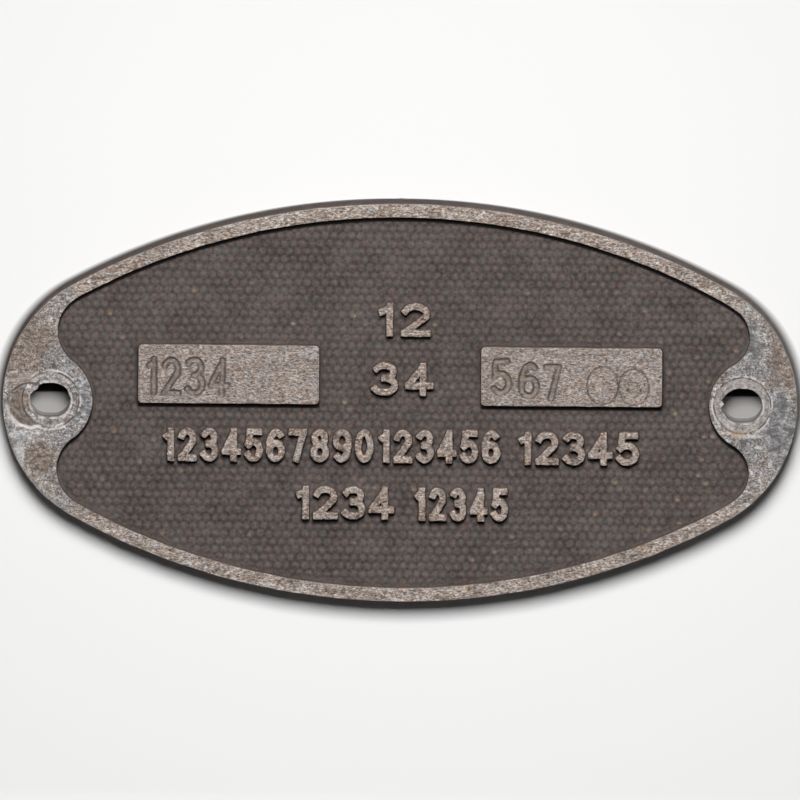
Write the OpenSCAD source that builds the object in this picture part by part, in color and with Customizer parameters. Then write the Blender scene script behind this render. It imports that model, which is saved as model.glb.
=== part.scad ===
// Oval cast plate for the side of a railway wagon.
// It stands as it is mounted: back face on the XZ plane, face toward -Y, long axis along X.
// Every wall leans by the casting's draft, so each outline is given at two depths and lofted.

/* [Plate] */
// Length of the plate at its back
plate_w = 200; // [185:1:230]
// Height of the plate at its back
plate_h = 102; // [92:1:112]
// Radius of the outline's two end arcs at the back
end_r = 34; // [31:0.5:40]
// Thickness from the back to the sunken ground
web_t = 4; // [2:0.1:8]
// Height of the border, lugs and panels above the ground
relief = 2; // [0.8:0.1:3]
// Draft of the cast walls, in degrees
draft = 3.5; // [1:0.5:6]

/* [Border and lugs] */
// Width of the border's flat face
border_w = 3.5; // [2:0.1:5]
// Radius of the left lug's boss at its face
left_boss_r = 12.2; // [10:0.1:14]
// Radius of the right lug's boss at its face
right_boss_r = 11.8; // [10:0.1:14]
// Distance from the plate's end, at its back, to the middle of a boss
boss_inset = 10.7; // [9:0.1:13]
// Radius of the hollows that blend the left boss into the border
left_pocket_r = 9.8; // [4:0.1:14]
// Radius of the hollows that blend the right boss into the border
right_pocket_r = 8.2; // [4:0.1:14]

/* [Fixing holes] */
// Distance from the plate's end, at its back, to the middle of a hole, before the shift
hole_inset = 13.25; // [12:0.05:15]
// How far the drilled pair lies off the middle of the casting, along X
hole_shift = -0.9; // [-1.5:0.1:1.5]
// Width of a hole across the plate's length
hole_d = 8.5; // [5:0.1:9]
// How much longer than wide a hole is, along X
hole_travel = 1.5; // [0.2:0.1:3]
// Diameter of the flat that the fastener's head has pressed round a hole
seat_d = 14; // [13:0.1:16]
// Depth of that flat
seat_depth = 0.3; // [0.1:0.05:0.6]

/* [Panels] */
// Width of a stamping panel at its face
panel_w = 45.5; // [20:0.5:52]
// Height of a stamping panel at its face
panel_h = 15; // [8:0.5:20]
// Radius of a panel's corners
panel_corner_r = 1; // [0.5:0.1:3]
// Distance between the middles of the two panels
panel_spacing = 86; // [60:0.5:90]
// How far the panels lie above the middle of the plate
panel_rise = 6.9; // [-5:0.1:12]

/* [Hidden] */

// Straight pieces in each arc of an outline
side_steps = 36;
end_steps = 42;
blend_steps = 14;
corner_steps = 6;
// Sides of a full circle in a hole or a seat
hole_sides = 72;
// How far a cut runs past the surface that it leaves by
cut_past = 1;

plate_t = web_t + relief;
// How far a wall leans in over the web and over the whole plate
web_lean = web_t * tan(draft);
plate_lean = plate_t * tan(draft);
relief_lean = relief * tan(draft);

// The outline is an oval of four arcs: two ends of end_r and two long sides of side_r.
end_x = plate_w / 2 - end_r;
side_r = (pow(end_x, 2) + pow(plate_h / 2, 2) - pow(end_r, 2)) / (2 * (plate_h / 2 - end_r));
side_drop = side_r - plate_h / 2;
// Direction, seen from an end arc's middle, in which it runs into the side arc
join_angle = atan2(side_drop, end_x);

// Distance between the middles of the two holes
hole_spacing = plate_w - 2 * hole_inset;

// A boss is a disc near each end. A pocket arc touches both the boss and the border's inner edge.
// The lists that follow hold a value for the left lug and then one for the right lug.
LEFT = 0;
RIGHT = 1;
boss_r = [left_boss_r, right_boss_r];
pocket_r = [left_pocket_r, right_pocket_r];
boss_x = plate_w / 2 - boss_inset;
border_lean = plate_lean + border_w;

// Middle of a lug's upper pocket, if it touches the arc of the border's inner edge round a middle
function pocket_on(lug, middle, radius) =
    let (to_boss = [boss_x, 0] - middle, gap = norm(to_boss), way = to_boss / gap)
    let (reach = radius - pocket_r[lug], far = boss_r[lug] + pocket_r[lug])
    let (along = (pow(reach, 2) - pow(far, 2) + pow(gap, 2)) / (2 * gap))
    middle + along * way + sqrt(pow(reach, 2) - pow(along, 2)) * [-way[1], way[0]];

// Direction of a place as seen from a middle
function direction(place, middle) = atan2(place[1] - middle[1], place[0] - middle[0]);

// A small pocket touches the end arc of the border's inner edge, a large one its side arc
end_middle = [end_x, 0];
side_middle = [0, -side_drop];
on_end = [for (lug = [LEFT, RIGHT]) pocket_on(lug, end_middle, end_r - border_lean)];
on_side = [for (lug = [LEFT, RIGHT]) pocket_on(lug, side_middle, side_r - border_lean)];
by_end = [for (p = on_end) direction(p, end_middle) < join_angle];
pocket = [for (lug = [LEFT, RIGHT]) by_end[lug] ? on_end[lug] : on_side[lug]];
// Direction square to the outline in which the border ends and the lug begins
lug_angle = [for (lug = [LEFT, RIGHT]) direction(pocket[lug], by_end[lug] ? end_middle : side_middle)];
// Direction from a pocket's middle to the boss
boss_angle = [for (p = pocket) direction([boss_x, 0], p)];

// Points of an arc round a middle, from one angle to another, both ends included
function arc(middle, radius, from, to, steps) =
    [for (i = [0:steps]) let (a = from + (to - from) * i / steps) middle + radius * [cos(a), sin(a)]];

// Point of the oval's upper half, or just below its ends, where a direction is square to the outline
function rim_point(a, inset) =
    let (turned = a > 90 ? 180 - a : a, side = a > 90 ? -1 : 1)
    let (way = [cos(turned), sin(turned)])
    let (p = turned < join_angle ? end_middle + (end_r - inset) * way : side_middle + (side_r - inset) * way)
    [side * p[0], p[1]];

// A lug's outer edge as at the right end, from low to high, drawn in by inset
function end_run(lug, inset) =
    let (up = [for (i = [0:end_steps / 2]) rim_point(lug_angle[lug] * i * 2 / end_steps, inset)])
    concat([for (i = [end_steps / 2:-1:1]) [up[i][0], -up[i][1]]], up);

// Directions of the oval's points over the top, and those of them from one lug to the other
shoulder_marks = [for (i = [1:end_steps / 2 - 1]) join_angle * i * 2 / end_steps];
side_marks = [for (i = [0:side_steps]) join_angle + (180 - 2 * join_angle) * i / side_steps];
top_marks = concat(
    shoulder_marks, side_marks,
    [for (i = [len(shoulder_marks) - 1:-1:0]) 180 - shoulder_marks[i]]);
mark_gap = 0.4;
top_angles = concat(
    [lug_angle[RIGHT]],
    [for (a = top_marks) if (a > lug_angle[RIGHT] + mark_gap && a < 180 - lug_angle[LEFT] - mark_gap) a],
    [180 - lug_angle[LEFT]]);

// The edge from the right lug over the top to the left lug, drawn in by inset
function upper_run(inset) = [for (a = top_angles) rim_point(a, inset)];

// An outline turned over so that its last point comes first, with its places flipped
function flipped(outline, x, z) = [for (i = [len(outline) - 1:-1:0]) [x * outline[i][0], z * outline[i][1]]];

// An outline without its two end points
function between(outline) = [for (i = [1:len(outline) - 2]) outline[i]];

// The whole oval drawn in by inset: the right end, the top, the left end and the bottom
function oval(inset) = concat(
    end_run(RIGHT, inset),
    between(upper_run(inset)),
    flipped(end_run(LEFT, inset), -1, 1),
    between(flipped(upper_run(inset), 1, -1)));

// A lug's inner edge as at the right end: pocket, boss and pocket, spread by lean below its face
function lug_run(lug, lean) =
    let (p = pocket[lug], r = pocket_r[lug] - lean, a = lug_angle[lug], b = boss_angle[lug])
    concat(
        arc([p[0], -p[1]], r, -a, -b, blend_steps),
        between(arc([boss_x, 0], boss_r[lug] + lean, 180 - b, 180 + b, blend_steps)),
        arc(p, r, b, a, blend_steps));

// A panel with round corners, about its own middle, spread by lean below its face
function panel_outline(lean) =
    let (x = panel_w / 2 - panel_corner_r, z = panel_h / 2 - panel_corner_r, r = panel_corner_r + lean)
    concat(
        arc([x, z], r, 0, 90, corner_steps),
        arc([-x, z], r, 90, 180, corner_steps),
        arc([-x, -z], r, 180, 270, corner_steps),
        arc([x, -z], r, 270, 360, corner_steps));

// Points of an outline at a depth, measured forward from the back face
function at_depth(outline, depth) = [for (p = outline) [p[0], -depth, p[1]]];

// Solid between two convex outlines with as many points each
module loft(back_outline, front_outline, back_depth, front_depth) {
    n = len(back_outline);
    points = concat(at_depth(back_outline, back_depth), at_depth(front_outline, front_depth));
    walls = [for (i = [0:n - 1]) [i, i + n, (i + 1) % n + n, (i + 1) % n]];
    back = [for (i = [0:n - 1]) i];
    front = [for (i = [n - 1:-1:0]) i + n];
    polyhedron(points, concat(walls, [back], [front]));
}

// Solid between an outer and an inner run of as many points each, from the ground up to the face.
// Each run is given at the ground and at the face, and the flat sides are strips from one to the other.
module band(outer_ground, inner_ground, outer_face, inner_face) {
    n = len(outer_ground);
    points = concat(
        at_depth(outer_ground, web_t), at_depth(inner_ground, web_t),
        at_depth(outer_face, plate_t), at_depth(inner_face, plate_t));
    strips = [for (i = [0:n - 2]) each [
        [i, i + 1, i + 1 + n, i + n],
        [i + 2 * n, i + 3 * n, i + 1 + 3 * n, i + 1 + 2 * n],
        [i + 2 * n, i + 1 + 2 * n, i + 1, i],
        [i + 1 + 3 * n, i + 3 * n, i + n, i + 1 + n]]];
    first = [3 * n, 2 * n, 0, n];
    last = [3 * n - 1, 4 * n - 1, 2 * n - 1, n - 1];
    polyhedron(points, concat(strips, [first], [last]));
}

// A lengthened hole right through the plate, with the head's flat in its front, for each side asked for
module hole_cuts(sides) {
    for (side = sides) {
        translate([hole_shift + side * hole_spacing / 2, cut_past, 0]) rotate([90, 0, 0]) {
            depth = plate_t + 2 * cut_past;
            for (end = [-1, 1]) {
                translate([end * hole_travel / 2, 0, 0]) cylinder(d = hole_d, h = depth, $fn = hole_sides);
            }
            translate([-hole_travel / 2, -hole_d / 2, 0]) cube([hole_travel, hole_d, depth]);
            translate([0, 0, cut_past + plate_t - seat_depth])
                cylinder(d = seat_d, h = seat_depth + cut_past, $fn = hole_sides);
        }
    }
}

module back_plate() {
    color([0.36, 0.32, 0.31])
    difference() {
        loft(oval(0), oval(web_lean), 0, web_t);
        hole_cuts([-1, 1]);
    }
}

// Both stretches of the border are the same block, one over the other
module border_block() {
    color([0.62, 0.57, 0.54])
    band(
        upper_run(plate_lean - relief_lean), upper_run(border_lean + relief_lean),
        upper_run(plate_lean), upper_run(border_lean));
}

// A lug as at the right end, before its hole is cut
module lug_block(lug) {
    band(
        end_run(lug, plate_lean - relief_lean), lug_run(lug, relief_lean),
        end_run(lug, plate_lean), lug_run(lug, 0));
}

module upper_border() {
    border_block();
}

module lower_border() {
    mirror([0, 0, 1]) border_block();
}

module left_lug() {
    color([0.58, 0.56, 0.55])
    difference() {
        mirror([1, 0, 0]) lug_block(LEFT);
        hole_cuts([-1]);
    }
}

module right_lug() {
    color([0.58, 0.56, 0.55])
    difference() {
        lug_block(RIGHT);
        hole_cuts([1]);
    }
}

// Both panels are the same block, set on the ground at either side of the middle
module stamping_panel() {
    color([0.60, 0.55, 0.52])
    loft(panel_outline(relief_lean), panel_outline(0), web_t, plate_t);
}

module left_panel() {
    translate([-panel_spacing / 2, 0, panel_rise]) stamping_panel();
}

module right_panel() {
    translate([panel_spacing / 2, 0, panel_rise]) stamping_panel();
}

back_plate();
upper_border();
lower_border();
left_lug();
right_lug();
left_panel();
right_panel();
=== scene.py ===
import math
from collections import namedtuple

import bmesh
import bpy
import numpy as np
from mathutils import Matrix, Vector
from mathutils.geometry import delaunay_2d_cdt


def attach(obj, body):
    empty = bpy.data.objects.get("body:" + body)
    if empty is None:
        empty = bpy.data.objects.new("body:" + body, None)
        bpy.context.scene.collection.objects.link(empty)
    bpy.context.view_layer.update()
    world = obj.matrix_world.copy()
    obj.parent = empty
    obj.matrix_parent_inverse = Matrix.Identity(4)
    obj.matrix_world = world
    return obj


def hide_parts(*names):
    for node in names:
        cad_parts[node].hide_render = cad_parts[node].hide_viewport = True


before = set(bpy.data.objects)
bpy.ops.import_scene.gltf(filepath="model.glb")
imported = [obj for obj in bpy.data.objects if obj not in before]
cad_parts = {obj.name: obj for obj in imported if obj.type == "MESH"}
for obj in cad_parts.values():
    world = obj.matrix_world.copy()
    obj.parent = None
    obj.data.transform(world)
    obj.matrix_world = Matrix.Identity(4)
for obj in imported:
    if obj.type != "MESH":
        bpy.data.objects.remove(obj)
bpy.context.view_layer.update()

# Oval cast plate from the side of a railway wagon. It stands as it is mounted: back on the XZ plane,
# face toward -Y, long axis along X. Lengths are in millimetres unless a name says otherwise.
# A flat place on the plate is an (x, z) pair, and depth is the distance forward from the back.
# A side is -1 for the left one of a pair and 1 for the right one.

MM = 0.001
SIDES = (-1, 1)

# The plate's sizes, as the CAD has them
PLATE_W, PLATE_H, END_R = 200.0, 102.0, 34.0
WEB_T, RELIEF = 4.0, 2.0
PLATE_T = WEB_T + RELIEF
LEAN = math.tan(math.radians(3.5))
BORDER_W, BOSS_X = 3.5, PLATE_W / 2 - 10.7
BOSS_R, POCKET_R = {-1: 12.2, 1: 11.8}, {-1: 9.8, 1: 8.2}
HOLES = {-1: -87.65, 1: 85.85}
HOLE_R, HOLE_TRAVEL = 4.25, 1.5
SEAT_R, SEAT_DEPTH = 7.0, 0.3
PANEL_W, PANEL_H, PANEL_R = 45.5, 15.0, 1.0
PANEL_X, PANEL_Z = 43.0, 6.9

# Worked out as in the CAD: the oval's arcs, and the arcs that blend each lug's boss into the border
END_X = PLATE_W / 2 - END_R
SIDE_R = (END_X ** 2 + (PLATE_H / 2) ** 2 - END_R ** 2) / (2 * (PLATE_H / 2 - END_R))
SIDE_DROP = SIDE_R - PLATE_H / 2
JOIN = math.atan2(SIDE_DROP, END_X)
INSET = PLATE_T * LEAN
INNER_R = END_R - INSET - BORDER_W
POCKET, LUG, BOSS = {}, {}, {}
for lug_side in SIDES:
    reach, far_reach = INNER_R - POCKET_R[lug_side], BOSS_R[lug_side] + POCKET_R[lug_side]
    pocket_along = (reach ** 2 - far_reach ** 2 + (BOSS_X - END_X) ** 2) / (2 * (BOSS_X - END_X))
    pocket_z = math.sqrt(reach ** 2 - pocket_along ** 2)
    POCKET[lug_side] = (END_X + pocket_along, pocket_z)
    LUG[lug_side] = math.atan2(pocket_z, pocket_along)
    BOSS[lug_side] = math.atan2(-pocket_z, BOSS_X - END_X - pocket_along)

# Fineness of the meshes: the step along an edge, the faces across the border, the points round a hole, a
# print's rim and an oval, and the steps of the grids
EDGE_STEP, ACROSS, HOLE_POINTS, PRINT_POINTS, OVAL_POINTS = 0.35, 14, 144, 130, 90
LUG_GRID, PANEL_GRID, DIGIT_GRID, BACK_GRID = 0.34, 0.26, 0.14, 2.5
# A grid's rows lie this share of a step apart, and its points keep a share of a step off an outline.
# Points within the last distance of each other become one.
ROW_SPACE, KEEP_OFF, WELD = 0.87, 0.6, 0.002
# A lug's grid reaches so far from its boss's middle, and this far into its hole, where it is cut off
LUG_HALF_W, LUG_HALF_H, HOLE_SLACK = 18, 31, 1.2

# Rounding of the raised metal's edges, and how far a cast edge strays inward from its true line. Some of
# that is the same everywhere, some changes slowly along the edge and some quickly.
ROUND, STRAY = 0.1, 0.16
STRAY_MEAN, STRAY_WIDE, STRAY_FINE = 0.5, 0.35, 0.15
STRAYED = STRAY * 0.8

# How far the ground faces lie below the highest level, and by how much that varies. Round a hole the
# metal was beaten, and the round print of a fastener's head lies lower, with a soft and wavy rim.
FACE_LOW, FACE_SAG = 0.05, 0.025
BEATEN_LOW, BEATEN_DENT, BEATEN_FINE, BEATEN_END, BEATEN_FULL = 0.07, 0.07, 0.035, 5.5, 1.0
SEAT_LESS, SEAT_UNEVEN, SEAT_WAVE, SEAT_SOFT = 0.06, 0.05, 0.3, 0.16

# A hole's rim: how ragged each side's is, its waves below and where torn, its fine waves, the depth that
# it is torn from, and its rounding. Then its torn places as (angle, width in degrees, reach).
RAGGED = {-1: 1.0, 1: 0.45}
RAG_BELOW, RAG_TORN, RAG_FINE, TORN_FROM, RIM_ROUND = 0.06, 0.10, 0.09, 2.0, 0.16
TEARS = {
    -1: [(136, 15, -0.55), (168, 12, 0.2), (225, 16, 0.15), (338, 12, -0.12), (40, 12, 0.12)],
    1: [(176, 6, -0.55), (164, 7, 0.2), (191, 9, 0.25), (272, 30, 0.1), (318, 14, 0.12)],
}
# The bore's steps down from the face, and how bare they are
BORE_DEPTHS = [PLATE_T - SEAT_DEPTH, PLATE_T - SEAT_DEPTH - 0.18, PLATE_T - 0.8, WEB_T]
BORE_LEVELS = [1, 0.9, 0.7, 0.55]

# Studs of the ground: distance between studs in a row and between rows, and a stud's radius and height.
# The lattice is split, and has so many rows and columns to each side of the middle. Studs are shifted and
# grainy, their heights vary above a least share, and the luckiest few are stunted.
STUD_PITCH, STUD_ROW, STUD_R, STUD_H = 2.25, 2.0, 1.42, 0.42
STUD_SPLIT, STUD_ROWS, STUD_COLS, STUD_SHIFT, STUD_GRAIN = 5, 26, 60, 0.2, 0.025
STUD_LEAST, STUD_VARIES, STUNTED, STUNTED_FROM = 0.66, 0.5, 0.5, 0.975
# The share of worn tips, how many more there are toward the lower right, and how bare they are
WORN_LEAST, WORN_MORE, WORN_ACROSS, WORN_FAINT, WORN_VARIES = 0.035, 0.06, (10, 105), 0.16, 0.7
WORN_SPOT = (0.62, 0.15)
# The ground between the studs lies this far below the web's plane, and raised walls reach further down.
# The ground runs on a little way under the border and panels, and no stud stands close to their walls.
GROUND_SINK, FOOT, AT_RECESS, GROUND_SAG = 0.3, 0.45, 0.3, 0.03
UNDER_BORDER, UNDER_PANEL, GROUND_END = 0.35, 0.3, 0.4
CLEAR_STRIP, PLAIN_SHARE = (0.2, 1.4), 0.35
# Painted shadow darkens the ground under walls that face down, and painted light brightens it above the
# others
SHADOW_BY_METAL, SHADOW_BY_DIGIT, LIGHT_BY_METAL, LIGHT_BY_DIGIT = 1.25, 0.9, 1.2, 0.9
LIT_SHARE, DIGIT_LIGHT, SOFT_EDGE = 0.8, 0.6, 0.25

# The outer wall's steps down to the back, whose edge is rounded
WALL_DROPS = [RELIEF, 2.6, 3.2, 3.8, 4.6, 5.3, PLATE_T - 0.25, PLATE_T - 0.07, PLATE_T]
WALL_SPREADS = [d * LEAN for d in WALL_DROPS[:-2]] + [WALL_DROPS[-2] * LEAN - 0.08, INSET - 0.3]
WALL_LEVEL, BACK_BORE_LEVEL, BACK_BORE_DEPTHS = 0.62, 0.5, [WEB_T, 3.0, 1.5, 0.25, 0.0]
# The back's grid ends at an oval and at circles round the holes, where its hollows fade out
BACK_HALF_W, BACK_HALF_H, BACK_HOLE_R, BACK_HOLLOW = 97.5, 48.5, 6.5, 0.12
HOLLOW_FADE, HOLE_FADE = 20, 2

# What the random fields cover, from their lower left corner
FIELD_W, FIELD_H, FIELD_CORNER = 230, 130, (-114, -64)


class Field:
    """Smooth random values between -1 and 1 over the plate, with one new value every cell."""

    def __init__(self, seed, cell):
        rng = np.random.default_rng(seed)
        self.cell = cell
        self.values = rng.uniform(-1, 1, (int(FIELD_W / cell) + 3, int(FIELD_H / cell) + 3))

    def __call__(self, places):
        q = (places - FIELD_CORNER) / self.cell
        i = np.floor(q).astype(int)
        f = q - i
        f = f * f * (3 - 2 * f)
        a, b, v = i[:, 0], i[:, 1], self.values
        low = v[a, b] * (1 - f[:, 0]) + v[a + 1, b] * f[:, 0]
        high = v[a, b + 1] * (1 - f[:, 0]) + v[a + 1, b + 1] * f[:, 0]
        return low * (1 - f[:, 1]) + high * f[:, 1]


def smooth(value, low, high):
    """0 below low, 1 above high, and a smooth rise between them. It falls where high is below low."""
    t = np.clip((value - low) / (high - low), 0, 1)
    return t * t * (3 - 2 * t)


def pairs(x, z):
    """Flat places from their x and their z."""
    return np.stack([np.ravel(x), np.ravel(z)], 1)


def length(ways):
    """The length of each of many ways over the plate."""
    return np.linalg.norm(ways, axis=1)


def at_depth(places, depth):
    """Points in space over flat places."""
    return np.stack([places[:, 0], -np.broadcast_to(depth, len(places)), places[:, 1]], 1)


stray_wide, stray_fine = Field(11, 3.1), Field(12, 0.9)
sag_wide, sag_fine, dents, hammer = Field(13, 7.0), Field(14, 1.3), Field(15, 2.4), Field(16, 1.0)
rag_wide, rag_fine = Field(17, 1.7), Field(18, 0.6)
stud_shift_x, stud_shift_z, stud_skin = Field(19, 1.9), Field(20, 1.9), Field(22, 0.7)
digit_stray = Field(31, 0.8)
panel_streaks, panel_sag, stamp_stray = Field(41, 0.7), Field(42, 3.0), Field(43, 1.1)


def show(name, data):
    """A new object in the scene."""
    obj = bpy.data.objects.new(name, data)
    bpy.context.scene.collection.objects.link(obj)
    return obj


def circle(count):
    """The angles of points round a circle, and the way out to each."""
    a = np.linspace(0, 2 * math.pi, count, endpoint=False)
    return a, pairs(np.cos(a), np.sin(a))


class Edge:
    """Points on arcs. Each keeps its arc's middle, its way out from there, the radius, and the side that
    the metal spreads to: 1 outward from the middle, -1 toward it."""

    def __init__(self, middle, way, radius, side):
        self.middle, self.way, self.radius, self.side = middle, way, radius, side

    @classmethod
    def arc(cls, middle, radius, start, end, side=1):
        count = max(3, int(abs(end - start) * radius / EDGE_STEP) + 1)
        a = np.linspace(start, end, count)
        way = pairs(np.cos(a), np.sin(a))
        middle = np.tile(np.array(middle, float), (count, 1))
        return cls(middle, way, np.full(count, radius), np.full(count, side))

    @classmethod
    def line(cls, start, end, way):
        count = int(np.linalg.norm(end - start) / EDGE_STEP) + 2
        t = np.linspace(0, 1, count)[:, None]
        middle = start + (end - start) * t - way
        return cls(middle, np.tile(way, (count, 1)), np.ones(count), np.ones(count))

    def __add__(self, other):
        return Edge(*(np.concatenate([a, b[1:]]) for a, b in zip(self.parts(), other.parts())))

    def parts(self):
        return self.middle, self.way, self.radius, self.side

    def flipped(self, x=1, z=1):
        return Edge(self.middle * (x, z), self.way * (x, z), self.radius, self.side)

    def turned(self):
        return Edge(*(a[::-1] for a in self.parts()))

    def moved(self, x, z):
        return Edge(self.middle + (x, z), self.way, self.radius, self.side)

    def closed(self):
        return Edge(*(a[:-1] for a in self.parts()))

    def at(self, spread):
        base = self.middle + self.way * self.radius[:, None]
        stray = STRAY * (STRAY_MEAN + STRAY_WIDE * stray_wide(base) + STRAY_FINE * stray_fine(base))
        return self.middle + self.way * (self.radius + self.side * (spread - stray))[:, None]


def end_edge(side):
    """A lug's outer edge at the face, up from its lower limit to its upper one, as at the right end."""
    return Edge.arc((END_X, 0), END_R - INSET, -LUG[side], LUG[side])


def upper_edge(inner):
    """The border's outer or inner edge over the top, from the right lug to the left one, at the face."""
    right = Edge.arc((END_X, 0), END_R - INSET, LUG[1], JOIN)
    top = Edge.arc((0, -SIDE_DROP), SIDE_R - INSET, JOIN, math.pi - JOIN)
    left = Edge.arc((-END_X, 0), END_R - INSET, math.pi - JOIN, math.pi - LUG[-1])
    outer = right + top + left
    # Both edges have as many points, because the border's mesh runs from one to the other
    return Edge(outer.middle, outer.way, outer.radius - BORDER_W, -outer.side) if inner else outer


def lug_edge(side):
    """A lug's inner edge at the face, as at the right end: pocket, boss and pocket, from low to high."""
    (x, z), lug, boss = POCKET[side], LUG[side], BOSS[side]
    low = Edge.arc((x, -z), POCKET_R[side], -lug, -boss, -1)
    round_boss = Edge.arc((BOSS_X, 0), BOSS_R[side], math.pi + boss, math.pi - boss, 1)
    high = Edge.arc((x, z), POCKET_R[side], boss, lug, -1)
    return low + round_boss.turned() + high


def panel_edge(side):
    """A panel's outline at the face: round each corner, then straight along to the next."""
    x, z = PANEL_W / 2 - PANEL_R, PANEL_H / 2 - PANEL_R
    corners = np.array([(x, z), (-x, z), (-x, -z), (x, -z)])
    ways = np.array([(0.0, 1.0), (-1.0, 0.0), (0.0, -1.0), (1.0, 0.0)])
    pieces = []
    for i, (corner, way) in enumerate(zip(corners, ways)):
        out = way * PANEL_R
        pieces.append(Edge.arc(corner, PANEL_R, i * math.pi / 2, (i + 1) * math.pi / 2))
        pieces.append(Edge.line(corner + out, corners[(i + 1) % 4] + out, way))
    return sum(pieces[1:], pieces[0]).closed().moved(side * PANEL_X, PANEL_Z)


def recess_distance(places):
    """Distance from the recess's edge at the face, above 0 in the raised metal round it."""
    p = np.abs(places)
    end, side = p - (END_X, 0), p - (0, -SIDE_DROP)
    by_end = length(end) - INNER_R
    by_side = length(side) - (SIDE_R - INSET - BORDER_W)
    oval = np.where(np.arctan2(end[:, 1], end[:, 0]) < JOIN, by_end, by_side)
    out = oval
    for lug in SIDES:
        boss = BOSS_R[lug] - length(p - (BOSS_X, 0))
        pocket = p - POCKET[lug]
        angle = np.arctan2(pocket[:, 1], pocket[:, 0])
        blend = length(pocket) - POCKET_R[lug]
        at_lug = np.where((angle > BOSS[lug]) & (angle < LUG[lug]), blend, np.maximum(oval, boss))
        out = np.where(places[:, 0] * lug > 0, at_lug, out)
    return out


def panel_distance(places, sides=SIDES):
    """Distance from the nearest panel's edge, above 0 outside it."""
    gaps = [np.abs(places - (side * PANEL_X, PANEL_Z)) - (PANEL_W / 2, PANEL_H / 2) for side in sides]
    return np.min([np.max(gap, axis=1) for gap in gaps], axis=0)


def hole_distance(places):
    """Distance from the middle of the nearest hole."""
    return np.min([length(places - (x, 0)) for x in HOLES.values()], axis=0)


# Marks in the raised metal. The crescent is what a tool bit out between two circles.
GOUGE = {"keep_out": ((-87.65, 0.4), 6.9), "bite": ((-92.7, -1.4), 5.9), "depth": 0.42}
GOUGE_SLOPE, GOUGE_INNER, GOUGE_ROUGH = 0.55, 0.1, 0.25
NICKS = [
    # middle, half length, half width, angle in degrees, depth
    ((-72.6, -30.2), 1.5, 0.35, -38, 0.35),
    ((-70.2, -29.4), 1.0, 0.22, -25, 0.2),
    ((-71.9, -34.2), 0.8, 0.45, 60, 0.4),
    ((-91.0, -9.6), 2.9, 0.5, -8, 0.16),
    ((-88.4, -10.6), 2.2, 0.3, -14, 0.12),
    ((-94.6, -6.9), 1.9, 0.35, -35, 0.14),
    ((92.3, 1.5), 0.9, 0.16, 62, 0.2),
    ((93.0, 0.9), 0.9, 0.16, 62, 0.2),
    ((91.5, -5.6), 2.6, 0.3, 52, 0.16),
    ((79.2, 5.2), 1.9, 0.3, 48, 0.16),
    ((-81.6, 5.6), 1.8, 0.3, -42, 0.14),
    ((-96.5, 4.2), 1.6, 0.2, 66, 0.14),
    ((88.6, -12.5), 2.4, 0.22, 12, 0.1),
    ((60.0, 35.6), 1.6, 0.22, -20, 0.14),
    ((-20.5, 47.9), 1.3, 0.2, 20, 0.12),
    ((34.0, -46.4), 1.5, 0.2, 12, 0.12),
]


def sink(places):
    """How far the ground face of the border and lugs lies below its highest level."""
    low = FACE_LOW + FACE_SAG * sag_wide(places) + FACE_SAG * sag_fine(places)
    for side, x in HOLES.items():
        far = length(places - (x, 0))
        near = smooth(far, SEAT_R + BEATEN_END, SEAT_R + BEATEN_FULL)
        low = low + near * (BEATEN_LOW + BEATEN_DENT * dents(places) + BEATEN_FINE * hammer(places))
        rim = SEAT_R + SEAT_WAVE * rag_wide(places)
        seat = smooth(far, rim + SEAT_SOFT, rim - SEAT_SOFT)
        tilt = SEAT_UNEVEN * (places[:, 1] - 0.6 * side * (places[:, 0] - x)) / SEAT_R
        low = low + seat * (SEAT_DEPTH - SEAT_LESS + tilt + SEAT_UNEVEN * hammer(places) - low)
    (ax, az), out = GOUGE["keep_out"]
    (bx, bz), into = GOUGE["bite"]
    outside = smooth(np.hypot(places[:, 0] - ax, places[:, 1] - az), out - GOUGE_INNER, out + GOUGE_SLOPE)
    ragged = into + GOUGE_ROUGH * rag_wide(places)
    inside = smooth(np.hypot(places[:, 0] - bx, places[:, 1] - bz), ragged, into - GOUGE_SLOPE)
    low = low + GOUGE["depth"] * outside * inside * (1 + GOUGE_ROUGH * hammer(places))
    for middle, half_l, half_w, angle, depth in NICKS:
        c, s = math.cos(math.radians(angle)), math.sin(math.radians(angle))
        d = places - middle
        along = (d[:, 0] * c + d[:, 1] * s) / half_l
        across = (d[:, 1] * c - d[:, 0] * s) / half_w
        low = low + depth * np.clip(1 - along ** 2 - across ** 2, 0, 1)
    return np.maximum(low, 0)


def level_of(drop):
    """1 at the face, and 0 at the ground."""
    return max(1 - drop / RELIEF, 0)


def face(places, drop=0.0, sunk=sink):
    """Points of the raised metal at a drop below the face. The face's unevenness fades down the wall."""
    return at_depth(places, PLATE_T - drop - sunk(places) * level_of(drop))


# A raised edge from its face down to the ground, as (spread, drop) pairs. The first ones round it off.
ROUND_TURNS, DROPS = np.radians([0, 22, 45, 67, 90]), (0.6, 1.3, RELIEF)
LEVELS = [(-ROUND * (1 - math.sin(a)), ROUND * (1 - math.cos(a))) for a in ROUND_TURNS]
LEVELS += [(drop * LEAN, drop) for drop in DROPS]
INNER_LEVELS = LEVELS + [((RELIEF + FOOT) * LEAN, RELIEF + FOOT)]
TOP_SPREAD, FOOT_SPREAD = LEVELS[0][0], INNER_LEVELS[-1][0]


def levels_of(levels):
    """The level at each (spread, drop) pair."""
    return [level_of(drop) for _, drop in levels]


def ring(edge, level, sunk=sink):
    """A row of points along an edge at a (spread, drop) pair."""
    spread, drop = level
    return face(edge.at(spread), drop, sunk)


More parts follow.
